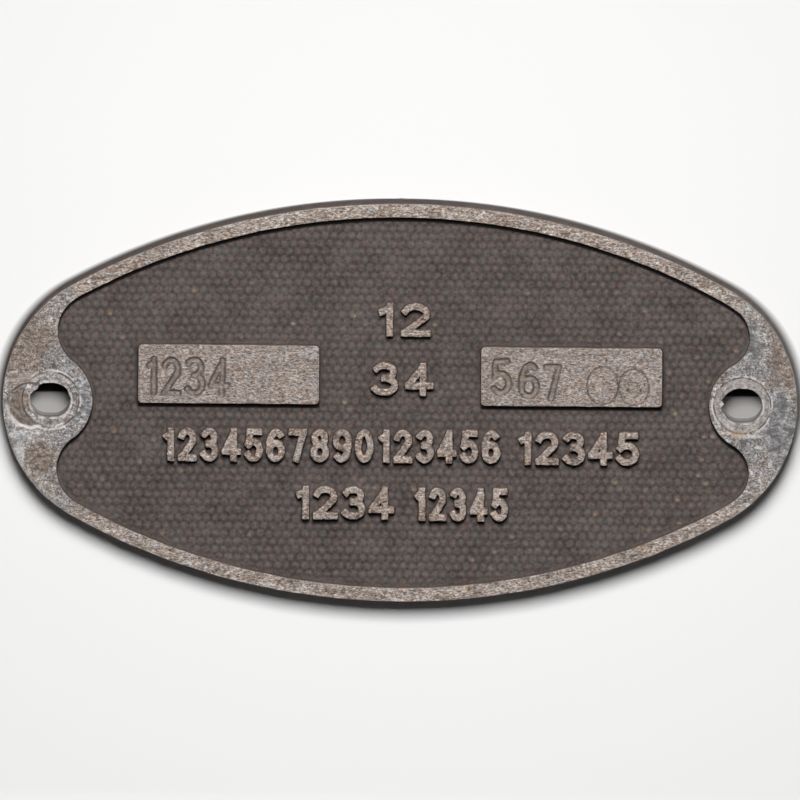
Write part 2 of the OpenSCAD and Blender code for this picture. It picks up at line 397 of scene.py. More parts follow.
def triangulate(loops, inner=np.zeros((0, 2)), rings=()):
    """Triangles over an outline, less the outlines after it, through the inner points and ring lines."""
    places, faces, edges = [], [], []
    for loop in loops:
        ahead = np.roll(loop, -1, 0)
        area = np.sum(loop[:, 0] * ahead[:, 1] - ahead[:, 0] * loop[:, 1])
        ids = list(range(len(places), len(places) + len(loop)))
        places += loop.tolist()
        faces.append(ids if area > 0 else ids[::-1])
    for line in rings:
        ids = list(range(len(places), len(places) + len(line)))
        places += line.tolist()
        edges += list(zip(ids, ids[1:] + ids[:1]))
    places += inner.tolist()
    out = delaunay_2d_cdt([Vector(p) for p in places], edges, faces, 1, 1e-6)
    triangles = [f for f, owners in zip(out[2], out[5]) if set(owners) == {0}]
    return np.array([v[:] for v in out[0]]), triangles


class Solid:
    """Collects the faces of a piece, with two numbers for each point. Its level is 1 on bare metal and 0
    under full paint, or a stud's share on the ground, raised there as painted light and cut as painted
    shadow. Its second number is above 0 on a worn tip or in a dirty groove, with painted shade under a
    stroke's upper edge, and below 0 in painted shadow."""

    def __init__(self):
        self.points, self.faces, self.levels, self.wear, self.count = [], [], [], [], 0

    def add(self, points, faces, level, wear=0.0):
        self.faces += [[i + self.count for i in f] for f in faces]
        self.points.append(points)
        self.levels.append(np.broadcast_to(level, len(points)).astype(float))
        self.wear.append(np.broadcast_to(wear, len(points)).astype(float))
        self.count += len(points)

    def strip(self, rows, levels, closed=False):
        """Quads from each row of points to the next."""
        rows = np.array(rows)
        many, n = rows.shape[:2]
        ends = n if closed else n - 1
        faces = [
            [r * n + i, r * n + (i + 1) % n, (r + 1) * n + (i + 1) % n, (r + 1) * n + i]
            for r in range(many - 1) for i in range(ends)
        ]
        self.add(rows.reshape(-1, 3), faces, np.repeat(levels, n))

    def piece(self, name, material, slot_name, *nodes, sharp=38):
        mesh = bpy.data.meshes.new(name)
        mesh.from_pydata((np.concatenate(self.points) * MM).tolist(), [], self.faces)
        for label, values in (("level", self.levels), ("wear", self.wear)):
            layer = mesh.attributes.new(label, "FLOAT", "POINT")
            layer.data.foreach_set("value", np.concatenate(values))
        work = bmesh.new()
        work.from_mesh(mesh)
        bmesh.ops.remove_doubles(work, verts=work.verts, dist=WELD * MM)
        bmesh.ops.dissolve_degenerate(work, edges=work.edges, dist=WELD * MM / 4)
        bmesh.ops.recalc_face_normals(work, faces=work.faces)
        work.to_mesh(mesh)
        work.free()
        mesh.polygons.foreach_set("use_smooth", [True] * len(mesh.polygons))
        mesh.set_sharp_from_angle(angle=math.radians(sharp))
        mesh.materials.append(material)
        obj = show(name, mesh)
        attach(obj, "root")
        if nodes:
            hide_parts(*nodes)
        return obj


def grid(low, high, step):
    """Places on a grid of rows that are offset by half a step, between two corners."""
    rows = np.arange(low[1], high[1], step * ROW_SPACE)
    cols = np.arange(low[0], high[0], step)
    x = cols[None, :] + (np.arange(len(rows)) % 2)[:, None] * step / 2
    return pairs(x, np.repeat(rows[:, None], len(cols), 1))


def hole_outline(side, depth):
    """A fixing hole's ragged outline at a depth. It is most torn at the face."""
    a, way = circle(HOLE_POINTS)
    base = way * HOLE_R + pairs(np.sign(way[:, 0]) * HOLE_TRAVEL / 2, 0 * a) + (HOLES[side], 0)
    torn = smooth(np.full(len(a), depth), TORN_FROM, PLATE_T - SEAT_DEPTH)
    rag = (RAG_BELOW + RAG_TORN * torn) * rag_wide(base) + RAG_FINE * torn * rag_fine(base)
    rag = RAGGED[side] * rag
    turn = np.degrees(a) % 360
    for middle, width, reach in TEARS[side]:
        rag = rag + torn * reach * np.exp(-((turn - middle) / width) ** 2)
    round_off = RIM_ROUND * (depth > PLATE_T - SEAT_DEPTH - 0.01)
    return base + way * (rag + round_off)[:, None]


def print_rim(side, radius):
    """A wavy circle along the rim of a fastener's print."""
    _, way = circle(PRINT_POINTS)
    base = way * radius + (HOLES[side], 0)
    return base + way * (SEAT_WAVE * rag_wide(base))[:, None]


def border_rows(z):
    """The border's mesh between the lugs as rows along it, from the outer ground over the face inward."""
    outer, inner = (upper_edge(i).flipped(z=z) for i in (False, True))
    rows = [ring(outer, level) for level in LEVELS[::-1]]
    a, b = outer.at(TOP_SPREAD), inner.at(TOP_SPREAD)
    rows += [face(a + (b - a) * i / ACROSS) for i in range(1, ACROSS)]
    rows += [ring(inner, level) for level in INNER_LEVELS]
    return np.array(rows)


ROW_LEVELS = levels_of(LEVELS[::-1]) + [1] * (ACROSS - 1) + levels_of(INNER_LEVELS)


def make_border(name, z, material):
    rows = border_rows(z)
    body = Solid()
    body.strip(rows, ROW_LEVELS)
    body.strip([rows[-1], rows[0]], [0, 0])
    for end in (0, -1):
        body.add(rows[:, end], [list(range(len(rows)))], ROW_LEVELS)
    return body.piece(name, material, "ground_border", name.replace("_metal", ""))


def lug_points(side):
    """The inner points of a lug's face, clear of its edges, its cut ends and its hole."""
    low, high = (np.array((side * BOSS_X, 0)) + (k * LUG_HALF_W, k * LUG_HALF_H) for k in (-1, 1))
    places = grid(low, high, LUG_GRID)
    from_end = places * (side, 1) - (END_X, 0)
    gap, lug = LUG_GRID * KEEP_OFF, LUG[side]
    cut_gap = [np.abs(from_end[:, 0] * math.sin(lug) - z * from_end[:, 1] * math.cos(lug)) for z in (1, -1)]
    local = places - (HOLES[side], 0)
    along = np.clip(local[:, :1], -HOLE_TRAVEL / 2, HOLE_TRAVEL / 2) * (1, 0)
    inside = (
        (recess_distance(places) > gap + ROUND + STRAYED)
        & (length(from_end) < END_R - INSET - ROUND - gap - STRAYED)
        & (np.abs(np.arctan2(from_end[:, 1], from_end[:, 0])) < lug)
        & (np.minimum(*cut_gap) > gap)
        & (length(local - along) > HOLE_R - HOLE_SLACK))
    return places[inside]


def make_lug(name, side, material):
    top = len(LEVELS) - 1
    cuts = [border_rows(z)[:, 0 if side > 0 else -1] for z in (1, -1)]
    outer, inner = end_edge(side).flipped(x=side), lug_edge(side).flipped(x=side)
    body = Solid()
    body.strip([ring(outer, level) for level in LEVELS], levels_of(LEVELS))
    body.strip([ring(inner, level) for level in INNER_LEVELS], levels_of(INNER_LEVELS))
    for cut in cuts:
        body.add(cut, [list(range(len(cut)))], ROW_LEVELS)
    high, low = (cut[top + 1:-top - 2][:, [0, 2]] for cut in cuts)
    outline = np.concatenate([outer.at(TOP_SPREAD), high, inner.at(TOP_SPREAD)[::-1], low[::-1]])
    hole_top = hole_outline(side, PLATE_T - SEAT_DEPTH)
    rims = [print_rim(side, SEAT_R + d) for d in (-SEAT_SOFT, SEAT_SOFT)]
    places, triangles = triangulate([outline, hole_top], lug_points(side), rims)
    body.add(face(places), triangles, 1)
    walls = [at_depth(hole_outline(side, d), d) for d in BORE_DEPTHS]
    walls[0] = face(hole_top)
    body.strip(walls, BORE_LEVELS, closed=True)
    base = np.concatenate([outer.at(LEVELS[-1][0]), inner.at(FOOT_SPREAD)[::-1]])
    places, triangles = triangulate([base, hole_outline(side, WEB_T)])
    under = at_depth(places, WEB_T)
    under[recess_distance(places) < AT_RECESS, 1] += FOOT
    body.add(under, triangles, 0)
    return body.piece(name, material, "lug_metal", name.replace("_metal", ""))


# Plain counting digits as the middle lines of their strokes, in a box one unit high
def bow(x, z, rx, rz, start, end, count=20):
    """Points of an oval arc about (x, z), from one angle to another in degrees."""
    a = np.radians(np.linspace(start, end, count))
    return pairs(x + rx * np.cos(a), z + rz * np.sin(a))


def bar(*ends):
    return np.array(ends)


def strokes():
    """Each digit's strokes, and the digit's width."""
    six = [bow(0.27, 0.29, 0.27, 0.29, 0, 360), bow(0.30, 0.45, 0.30, 0.55, 58, 180)]
    six[1] = np.concatenate([six[1], [(0.0, 0.29)]])
    two = np.concatenate([bow(0.26, 0.73, 0.26, 0.27, 158, -28), [(0.08, 0.10)]])
    return {
        "1": ([bar((0.27, 1.0), (0.27, 0.0)), bar((0.09, 0.80), (0.24, 0.90))], 0.30),
        "2": ([two, bar((0.0, 0.0), (0.54, 0.0))], 0.54),
        "3": ([bow(0.25, 0.765, 0.23, 0.235, 148, -90), bow(0.25, 0.265, 0.27, 0.265, 90, -148)], 0.52),
        "4": ([bar((0.38, 0.0), (0.38, 1.0)), bar((0.31, 0.84), (0.03, 0.33)),
               bar((0.0, 0.25), (0.56, 0.25))], 0.56),
        "5": ([bar((0.10, 1.0), (0.49, 1.0)), bar((0.09, 0.98), (0.06, 0.58)),
               bow(0.25, 0.31, 0.28, 0.31, 138, -146)], 0.53),
        "6": (six, 0.55),
        "7": ([bar((0.0, 1.0), (0.53, 1.0)), bar((0.49, 0.90), (0.20, 0.0))], 0.53),
        "8": ([bow(0.27, 0.765, 0.225, 0.235, 0, 360), bow(0.27, 0.265, 0.27, 0.265, 0, 360)], 0.54),
        "9": ([(0.55, 1.0) - line for line in six], 0.55),
        "0": ([bow(0.27, 0.5, 0.27, 0.5, 0, 360, 36)], 0.54),
    }


STROKES = strokes()


def stroke_distance(places, lines):
    """Distance from each place to the nearest of the lines."""
    best = np.full(len(places), 1e9)
    for line in lines:
        for a, b in zip(line[:-1], line[1:]):
            ab = b - a
            t = np.clip(((places - a) @ ab) / max(ab @ ab, 1e-12), 0, 1)
            best = np.minimum(best, length(places - a - t[:, None] * ab))
    return best


def block_distance(places, lines, half, corner):
    """Distance from the outline of strokes of a half width, with square ends whose corners are rounded."""
    best = np.full(len(places), 1e9)
    for line in lines:
        ahead = np.diff(line, axis=0)
        size = length(ahead)
        way = ahead / size[:, None]
        loop = np.linalg.norm(line[0] - line[-1]) < 1e-6
        for i in range(len(way)):
            # A stroke that starts or ends here reaches on by its half width
            before = half if i == 0 and not loop else 0.0
            after = half if i == len(way) - 1 and not loop else 0.0
            d = places - line[i]
            u, v = d @ way[i], np.abs(d[:, 0] * way[i, 1] - d[:, 1] * way[i, 0])
            middle, reach = (size[i] + after - before) / 2, (size[i] + after + before) / 2
            out_u, out_v = np.abs(u - middle) - reach + corner, v - half + corner
            box = np.hypot(np.maximum(out_u, 0), np.maximum(out_v, 0))
            box = box + np.minimum(np.maximum(out_u, out_v), 0)
            best = np.minimum(best, box - corner)
            if i > 0 or loop:
                best = np.minimum(best, length(d) - half)
    return best


def set_digit(digit, left, low, height, half_stroke, width, turn=0.0):
    """A digit's stroke lines, placed by its outer box and turned by degrees about its lower left."""
    lines, natural = STROKES[digit]
    size, across = height - 2 * half_stroke, width - 2 * half_stroke
    c, s = math.cos(math.radians(turn)), math.sin(math.radians(turn))
    placed = [line * (across / natural, size) + half_stroke for line in lines]
    return [pairs(p[:, 0] * c - p[:, 1] * s, p[:, 0] * s + p[:, 1] * c) + (left, low) for p in placed]


# Rows of raised digits: for each group its digits, left end, right end and middle height
ROWS = {
    "raised_row_1": [("12", -6.5, 7.6, 21.1)],
    "raised_row_2": [("34", -7.3, 8.4, 6.0)],
    "raised_row_3": [("1234567890123456", -59.8, 25.4, -11.1), ("12345", 29.2, 60.1, -11.3)],
    "raised_row_4": [("1234", -26.6, -1.2, -25.6), ("12345", 3.5, 27.4, -25.8)],
}
DIGIT_H, DIGIT_STROKE, DIGIT_WALL, DIGIT_CORNER = 8.5, 0.86, 0.28, 0.25
DIGIT_GAP, PAIR_GAP, DIGIT_STRAY, DIGIT_LOW = 0.75, 1.6, 0.09, 0.05
DIGIT_ROUND, DIGIT_ROUNDED, WALL_BULGE = 0.1, (-0.2, 0.03), 0.9


def raised_digits():
    """Each raised digit's row and stroke lines. The digits of a group share its width."""
    for name, groups in ROWS.items():
        for digits, left, right, middle in groups:
            natural = np.array([STROKES[d][1] for d in digits])
            inner = DIGIT_H - 2 * DIGIT_STROKE
            gap = DIGIT_GAP if len(digits) > 2 else PAIR_GAP
            room = right - left - gap * (len(digits) - 1) - 2 * DIGIT_STROKE * len(digits)
            fit = room / (natural.sum() * inner)
            x = left
            for digit, own in zip(digits, natural):
                width = own * inner * fit + 2 * DIGIT_STROKE
                yield name, set_digit(digit, x, middle - DIGIT_H / 2, DIGIT_H, DIGIT_STROKE, width)
                x += width + gap


def stud_of(places):
    """For each place: the squared distance to the nearest stud, its row and column, and the way from it."""
    best = np.full(len(places), 1e9)
    who = np.zeros((len(places), 2), int)
    lean = np.zeros((len(places), 2))
    for up in (0, 1):
        row = np.floor(places[:, 1] / STUD_ROW).astype(int) + up
        shift = 0.5 * (row % 2)
        col = np.round(places[:, 0] / STUD_PITCH - shift).astype(int)
        d = places - pairs((col + shift) * STUD_PITCH, row * STUD_ROW)
        far = np.sum(d * d, 1)
        near = far < best
        best[near], lean[near] = far[near], d[near]
        who[near] = pairs(row, col)[near]
    return best, who, lean


def stud_heights(places):
    """Height of the studded ground above its floor, each stud's share of it, and its wear."""
    rng = np.random.default_rng(21)
    middle = (40, STUD_COLS)
    tall, luck, hue = (rng.uniform(0, 1, (2 * middle[0], 2 * middle[1])) for _ in range(3))
    far, who, lean = stud_of(places + STUD_SHIFT * pairs(stud_shift_x(places), stud_shift_z(places)))
    stud = who[:, 0] + middle[0], who[:, 1] + middle[1]
    tall, luck, hue = tall[stud], luck[stud], hue[stud]
    share = np.clip(1 - far / STUD_R ** 2, 0, 1)
    full = np.where(luck > STUNTED_FROM, STUNTED, STUD_LEAST + STUD_VARIES * tall)
    chance = WORN_LEAST + WORN_MORE * smooth(places[:, 0] - places[:, 1], *WORN_ACROSS)
    bare = (hue < chance) * (WORN_FAINT + WORN_VARIES * luck ** 3)
    # The worn spot is wider than high, and off its stud's middle by chance
    spot = np.hypot(0.75 * lean[:, 0] - 0.9 * (tall - 0.5), lean[:, 1] + 0.5 * (luck - 0.3))
    return STUD_H * full * share + STUD_GRAIN * stud_skin(places), share, bare * smooth(spot, *WORN_SPOT)


def on_metal(places):
    """1 on the raised border, lugs and panels and 0 off them, with a soft edge."""
    panels = smooth(panel_distance(places), SOFT_EDGE, -SOFT_EDGE)
    return np.maximum(smooth(recess_distance(places), -SOFT_EDGE, SOFT_EDGE), panels)


def on_digits(places, margin=2):
    """1 on the raised digits and 0 off them, with a soft edge. Only places near a digit are measured."""
    share = np.zeros(len(places))
    for _, lines in raised_digits():
        every = np.concatenate(lines)
        near = ((places > every.min(0) - margin) & (places < every.max(0) + margin)).all(1)
        out = block_distance(places[near], lines, DIGIT_STROKE, DIGIT_CORNER)
        share[near] = np.maximum(share[near], smooth(out, SOFT_EDGE, -SOFT_EDGE))
    return share


def add_ground(body, outline, holes):
    """The sunken ground, on the studs' own lattice, so that each stud gets the same mesh."""
    n = STUD_SPLIT
    rows, cols = np.arange(-STUD_ROWS * n, STUD_ROWS * n), np.arange(-STUD_COLS * n, STUD_COLS * n)
    z = np.repeat(rows[:, None], len(cols), 1) * STUD_ROW / n
    x = cols[None, :] * STUD_PITCH / n + (rows * STUD_PITCH / (2 * n))[:, None]
    places = pairs(x, z)
    places = places[np.abs(places[:, 0]) < PLATE_W / 2]
    open_ground = (recess_distance(places) < UNDER_BORDER) & (panel_distance(places) > -UNDER_PANEL)
    places, triangles = triangulate([outline] + holes, places[open_ground])
    height, share, bare = stud_heights(places)
    from_border = -recess_distance(places)
    shown = from_border > -GROUND_END
    clear = smooth(np.minimum(from_border, panel_distance(places)), *CLEAR_STRIP)
    height, bare = height * clear, bare * clear
    share = PLAIN_SHARE + (share - PLAIN_SHARE) * clear
    # Painted shadow on the ground under raised metal and digits, and painted light on the ground above them
    painted_shadow = np.maximum(on_metal(places + (0, SHADOW_BY_METAL)), on_digits(places + (0, SHADOW_BY_DIGIT)))
    light_by_digit = DIGIT_LIGHT * on_digits(places - (0, LIGHT_BY_DIGIT))
    painted_light = np.maximum(on_metal(places - (0, LIGHT_BY_METAL)), light_by_digit)
    share = (share + np.maximum(LIT_SHARE - share, 0) * painted_light) * (1 - painted_shadow)
    ground = at_depth(places, WEB_T)
    ground[:, 1] += (GROUND_SINK - height - GROUND_SAG * sag_wide(places)) * shown
    body.add(ground, triangles, share * shown, (bare - painted_shadow) * shown)


def add_back(body, outline, holes):
    """The back: a flat cast skin with shallow hollows, nowhere behind the mounting plane."""
    def from_rim(places):
        return 1 - np.sum((np.abs(places) * (1 / BACK_HALF_W, 1 / BACK_HALF_H)) ** 2, 1)

    inner = grid((-PLATE_W / 2, -PLATE_H / 2), (PLATE_W / 2, PLATE_H / 2), BACK_GRID)
    inner = inner[(from_rim(inner) > 0) & (hole_distance(inner) > BACK_HOLE_R)]
    places, triangles = triangulate([outline] + holes, inner)
    clear = np.minimum(from_rim(places) * HOLLOW_FADE, (hole_distance(places) - BACK_HOLE_R) * HOLE_FADE)
    back = at_depth(places, 0)
    back[:, 1] = -BACK_HOLLOW * (0.5 + 0.5 * sag_wide(places)) * np.clip(clear, 0, 1)
    body.add(back, triangles, 0)


def make_plate(material):
    body = Solid()
    top = upper_edge(False)
    rim = end_edge(1) + top + end_edge(-1).flipped(x=-1).turned() + top.flipped(z=-1).turned()
    rim = rim.closed()
    add_ground(body, rim.at(RELIEF * LEAN), [hole_outline(side, WEB_T) for side in SIDES])
    walls = [at_depth(rim.at(spread), PLATE_T - drop) for spread, drop in zip(WALL_SPREADS, WALL_DROPS)]
    body.strip(walls, [WALL_LEVEL] * len(walls), closed=True)
    for side in SIDES:
        walls = [at_depth(hole_outline(side, d), d) for d in BACK_BORE_DEPTHS]
        body.strip(walls, [BACK_BORE_LEVEL] * len(walls), closed=True)
    add_back(body, rim.at(WALL_SPREADS[-1]), [hole_outline(side, 0.0) for side in SIDES])
    return body.piece("studded_plate", material, "painted_ground", "back_plate")


def raised_digit(body, lines):
    """A digit that stands on the ground, with its face ground off level with the border."""
    every = np.concatenate(lines)
    reach = DIGIT_STROKE + DIGIT_WALL + 2 * DIGIT_GRID
    low, high = every.min(0) - reach, every.max(0) + reach
    xs, zs = (np.arange(low[i], high[i], DIGIT_GRID) for i in (0, 1))
    nx, nz = len(xs), len(zs)
    places = pairs(np.repeat(xs[:, None], nz, 1), np.repeat(zs[None], nx, 0))
    out = block_distance(places, lines, DIGIT_STROKE, DIGIT_CORNER) + DIGIT_STRAY * digit_stray(places)
    i, j = np.meshgrid(np.arange(nx - 1), np.arange(nz - 1), indexing="ij")
    a = (i * nz + j).ravel()
    quads = np.stack([a, a + nz, a + nz + 1, a + 1], 1)
    quads = quads[(out[quads] < DIGIT_WALL).all(1)]
    used, turned = np.unique(quads, return_inverse=True)
    quads = turned.reshape(-1, 4)
    places, out = places[used], out[used]
    # Points at the skirt's border are shared by the raised side and the flat base
    skirt = np.bincount(quads.ravel(), minlength=len(used)) < 4
    fall = np.clip(out / DIGIT_WALL, 0, 1)
    down = DIGIT_ROUND * smooth(out, *DIGIT_ROUNDED)
    depth = PLATE_T - DIGIT_LOW - GROUND_SAG * sag_fine(places) - down - (RELIEF + FOOT) * fall ** WALL_BULGE
    base_depth = WEB_T - FOOT
    depth = np.where(skirt, base_depth, np.maximum(depth, base_depth + 0.01))
    body.add(at_depth(places, depth), quads.tolist(), np.clip((depth - WEB_T) / RELIEF, 0, 1))
    body.add(at_depth(places, base_depth), quads[:, ::-1].tolist(), 0)


def make_row(name, material):
    body = Solid()
    for row, lines in raised_digits():
        if row == name:
            raised_digit(body, lines)
    return body.piece(name, material, "ground_border", sharp=60)


# Stamped digits: digit, left, low, width, height, turn in degrees and depth.
# Then the plain oval stamps: middle, half width and half height.
STAMPS = {
    -1: [("1", -64.5, 1.2, 3.9, 10.3, 0.5, 0.66), ("2", -60.2, 1.1, 5.5, 10.2, -0.6, 0.68),
         ("3", -54.4, 1.1, 5.8, 10.3, 0.8, 0.64), ("4", -48.5, 1.0, 6.1, 10.3, -0.8, 0.56)],
    1: [("5", 22.5, 1.8, 5.7, 9.8, 1.0, 0.66), ("6", 29.4, 1.1, 5.8, 9.7, -1.0, 0.66),
        ("7", 35.7, 0.5, 5.0, 9.9, -0.5, 0.60)],
}
OVALS = {-1: [], 1: [((50.8, 4.7), 3.9, 4.8), ((58.6, 4.3), 3.8, 4.6)]}
STAMP_HALF, STAMP_STRAY, OVAL_HALF, OVAL_DEPTH = 0.95, 0.09, 0.26, 0.3
# A panel's face: how low it lies and by how much that varies
PANEL_LOW, PANEL_SAG, PANEL_STREAK, STREAK_LONG = 0.045, 0.02, 0.022, 4
# Across a stroke, from its middle at 0 to its edge at 1: the groove, the lip pushed up beside it, and the
# line of dirt along its walls, with painted shade added under the stroke's upper edge
GROOVE_TOP, GROOVE_FLOOR, LIP_AT, LIP_WIDE, LIP_UP = 1.05, 0.35, 1.18, 0.16, 0.03
DIRT_AND_SHADE_AT, DIRT_AND_SHADE_WIDE, DIRT_LEAST, UPPER_EDGE_SHADE, UPPER_EDGE_REACH = 0.78, 0.24, 0.55, 0.6, 0.3


def stamped_digits(side):
    return [(set_digit(d, x, z, h, STAMP_HALF, w, turn), deep) for d, x, z, w, h, turn, deep in STAMPS[side]]


def groove_distance(places, lines):
    """Distance from the middle of stamped strokes, 1 at their ragged edge."""
    return (stroke_distance(places, lines) + STAMP_STRAY * stamp_stray(places)) / STAMP_HALF


def oval_distance(places, middle, rx, rz):
    """Rough distance from the line of an oval stamp, 1 at the line's edge."""
    r = length((places - middle) / (rx, rz))
    return np.abs(r - 1) * min(rx, rz) / OVAL_HALF


def groove_dirt_and_shade(places, side):
    """1 along the walls of the stamped strokes and in the oval lines, where dirt has stayed, and more under
    each stroke's upper edge as painted shade.
    """
    dirt = np.zeros(len(places))
    for lines, _ in stamped_digits(side):
        # Under a stroke's upper edge the line is darker: painted shade
        above, below = (
            smooth(stroke_distance(places + (0, dz), lines) / STAMP_HALF, 1.15, 0.5)
            for dz in (UPPER_EDGE_REACH, -UPPER_EDGE_REACH))
        along_wall = np.exp(-((groove_distance(places, lines) - DIRT_AND_SHADE_AT) / DIRT_AND_SHADE_WIDE) ** 2)
        dirt = np.maximum(dirt, (DIRT_LEAST + UPPER_EDGE_SHADE * np.clip(below - above, 0, 1)) * along_wall)
    for oval in OVALS[side]:
        line = np.exp(-(oval_distance(places, *oval) / 0.6) ** 2)
        dirt = np.maximum(dirt, line * (0.55 + 0.35 * panel_sag(places * 1.3)))
    return dirt


def panel_sink(side):
    """As sink, for a panel's face with its stamps."""
    stamped = stamped_digits(side)

    def sunk(places):
        low = PANEL_LOW + PANEL_SAG * panel_sag(places)
        low = low + PANEL_STREAK * panel_streaks(places * (1 / STREAK_LONG, 1))
        for lines, deep in stamped:
            d = groove_distance(places, lines)
            lip = np.exp(-((d - LIP_AT) / LIP_WIDE) ** 2)
            fade = 0.85 + 0.15 * stamp_stray(places * 0.7)
            low = low + deep * smooth(d, GROOVE_TOP, GROOVE_FLOOR) * fade - LIP_UP * lip
        for oval in OVALS[side]:
            line = np.clip(1 - oval_distance(places, *oval) ** 2, 0, 1)
            low = low + OVAL_DEPTH * line * (0.75 + 0.25 * panel_sag(places))
        return np.maximum(low, 0)

    return sunk


def make_panel(name, side, material):
    edge, sunk = panel_edge(side), panel_sink(side)
    body = Solid()
    body.strip([ring(edge, level, sunk) for level in INNER_LEVELS], levels_of(INNER_LEVELS), closed=True)
    corner = np.array([side * PANEL_X - PANEL_W / 2, PANEL_Z - PANEL_H / 2])
    inner = grid(corner, corner + (PANEL_W, PANEL_H), PANEL_GRID)
    inner = inner[panel_distance(inner, [side]) < -(ROUND + STRAYED + PANEL_GRID * KEEP_OFF)]
    _, way = circle(OVAL_POINTS)
    offs = [OVAL_HALF * share for share in (-1, -0.5, 0, 0.5, 1)]
    rings = [way * (rx + off, rz + off) + middle for middle, rx, rz in OVALS[side] for off in offs]
    places, triangles = triangulate([edge.at(TOP_SPREAD)], inner, rings)
    body.add(face(places, 0.0, sunk), triangles, 1, groove_dirt_and_shade(places, side))
    places, triangles = triangulate([edge.at(FOOT_SPREAD)])
    body.add(at_depth(places, WEB_T - FOOT), triangles, 0)
    return body.piece(name, material, "panel_metal", name.replace("_metal", ""))


class Signal:
    """What a node gives. Sums and products of numbers make Math nodes."""

    def __init__(self, graph, socket):
        self.graph, self.socket = graph, socket

    def math(self, operation, other=0.0, clamp=False):
        return self.graph.math(operation, self, other, clamp)

    def __add__(self, other):
        return self.math("ADD", other)

    def __sub__(self, other):
        return self.math("SUBTRACT", other)

    def __rsub__(self, other):
        return self.graph.math("SUBTRACT", other, self)

    def __mul__(self, other):
        return self.math("MULTIPLY", other)

    def __truediv__(self, other):
        return self.math("DIVIDE", other)

    def __abs__(self):
        return self.math("ABSOLUTE")

    def root(self):
        return self.math("SQRT")

    def at_least(self, other):
        return self.math("MAXIMUM", other)


# A layer of patches over a colour: its tint and strength, the noise's size, detail, roughness and shift,
# where the patches begin and are full, how far they are drawn out along the plate, and the blend
LAYER = "tint strength size detail rough shift begin full long blend"
Layer = namedtuple("Layer", LAYER, defaults=(1, "MIX"))


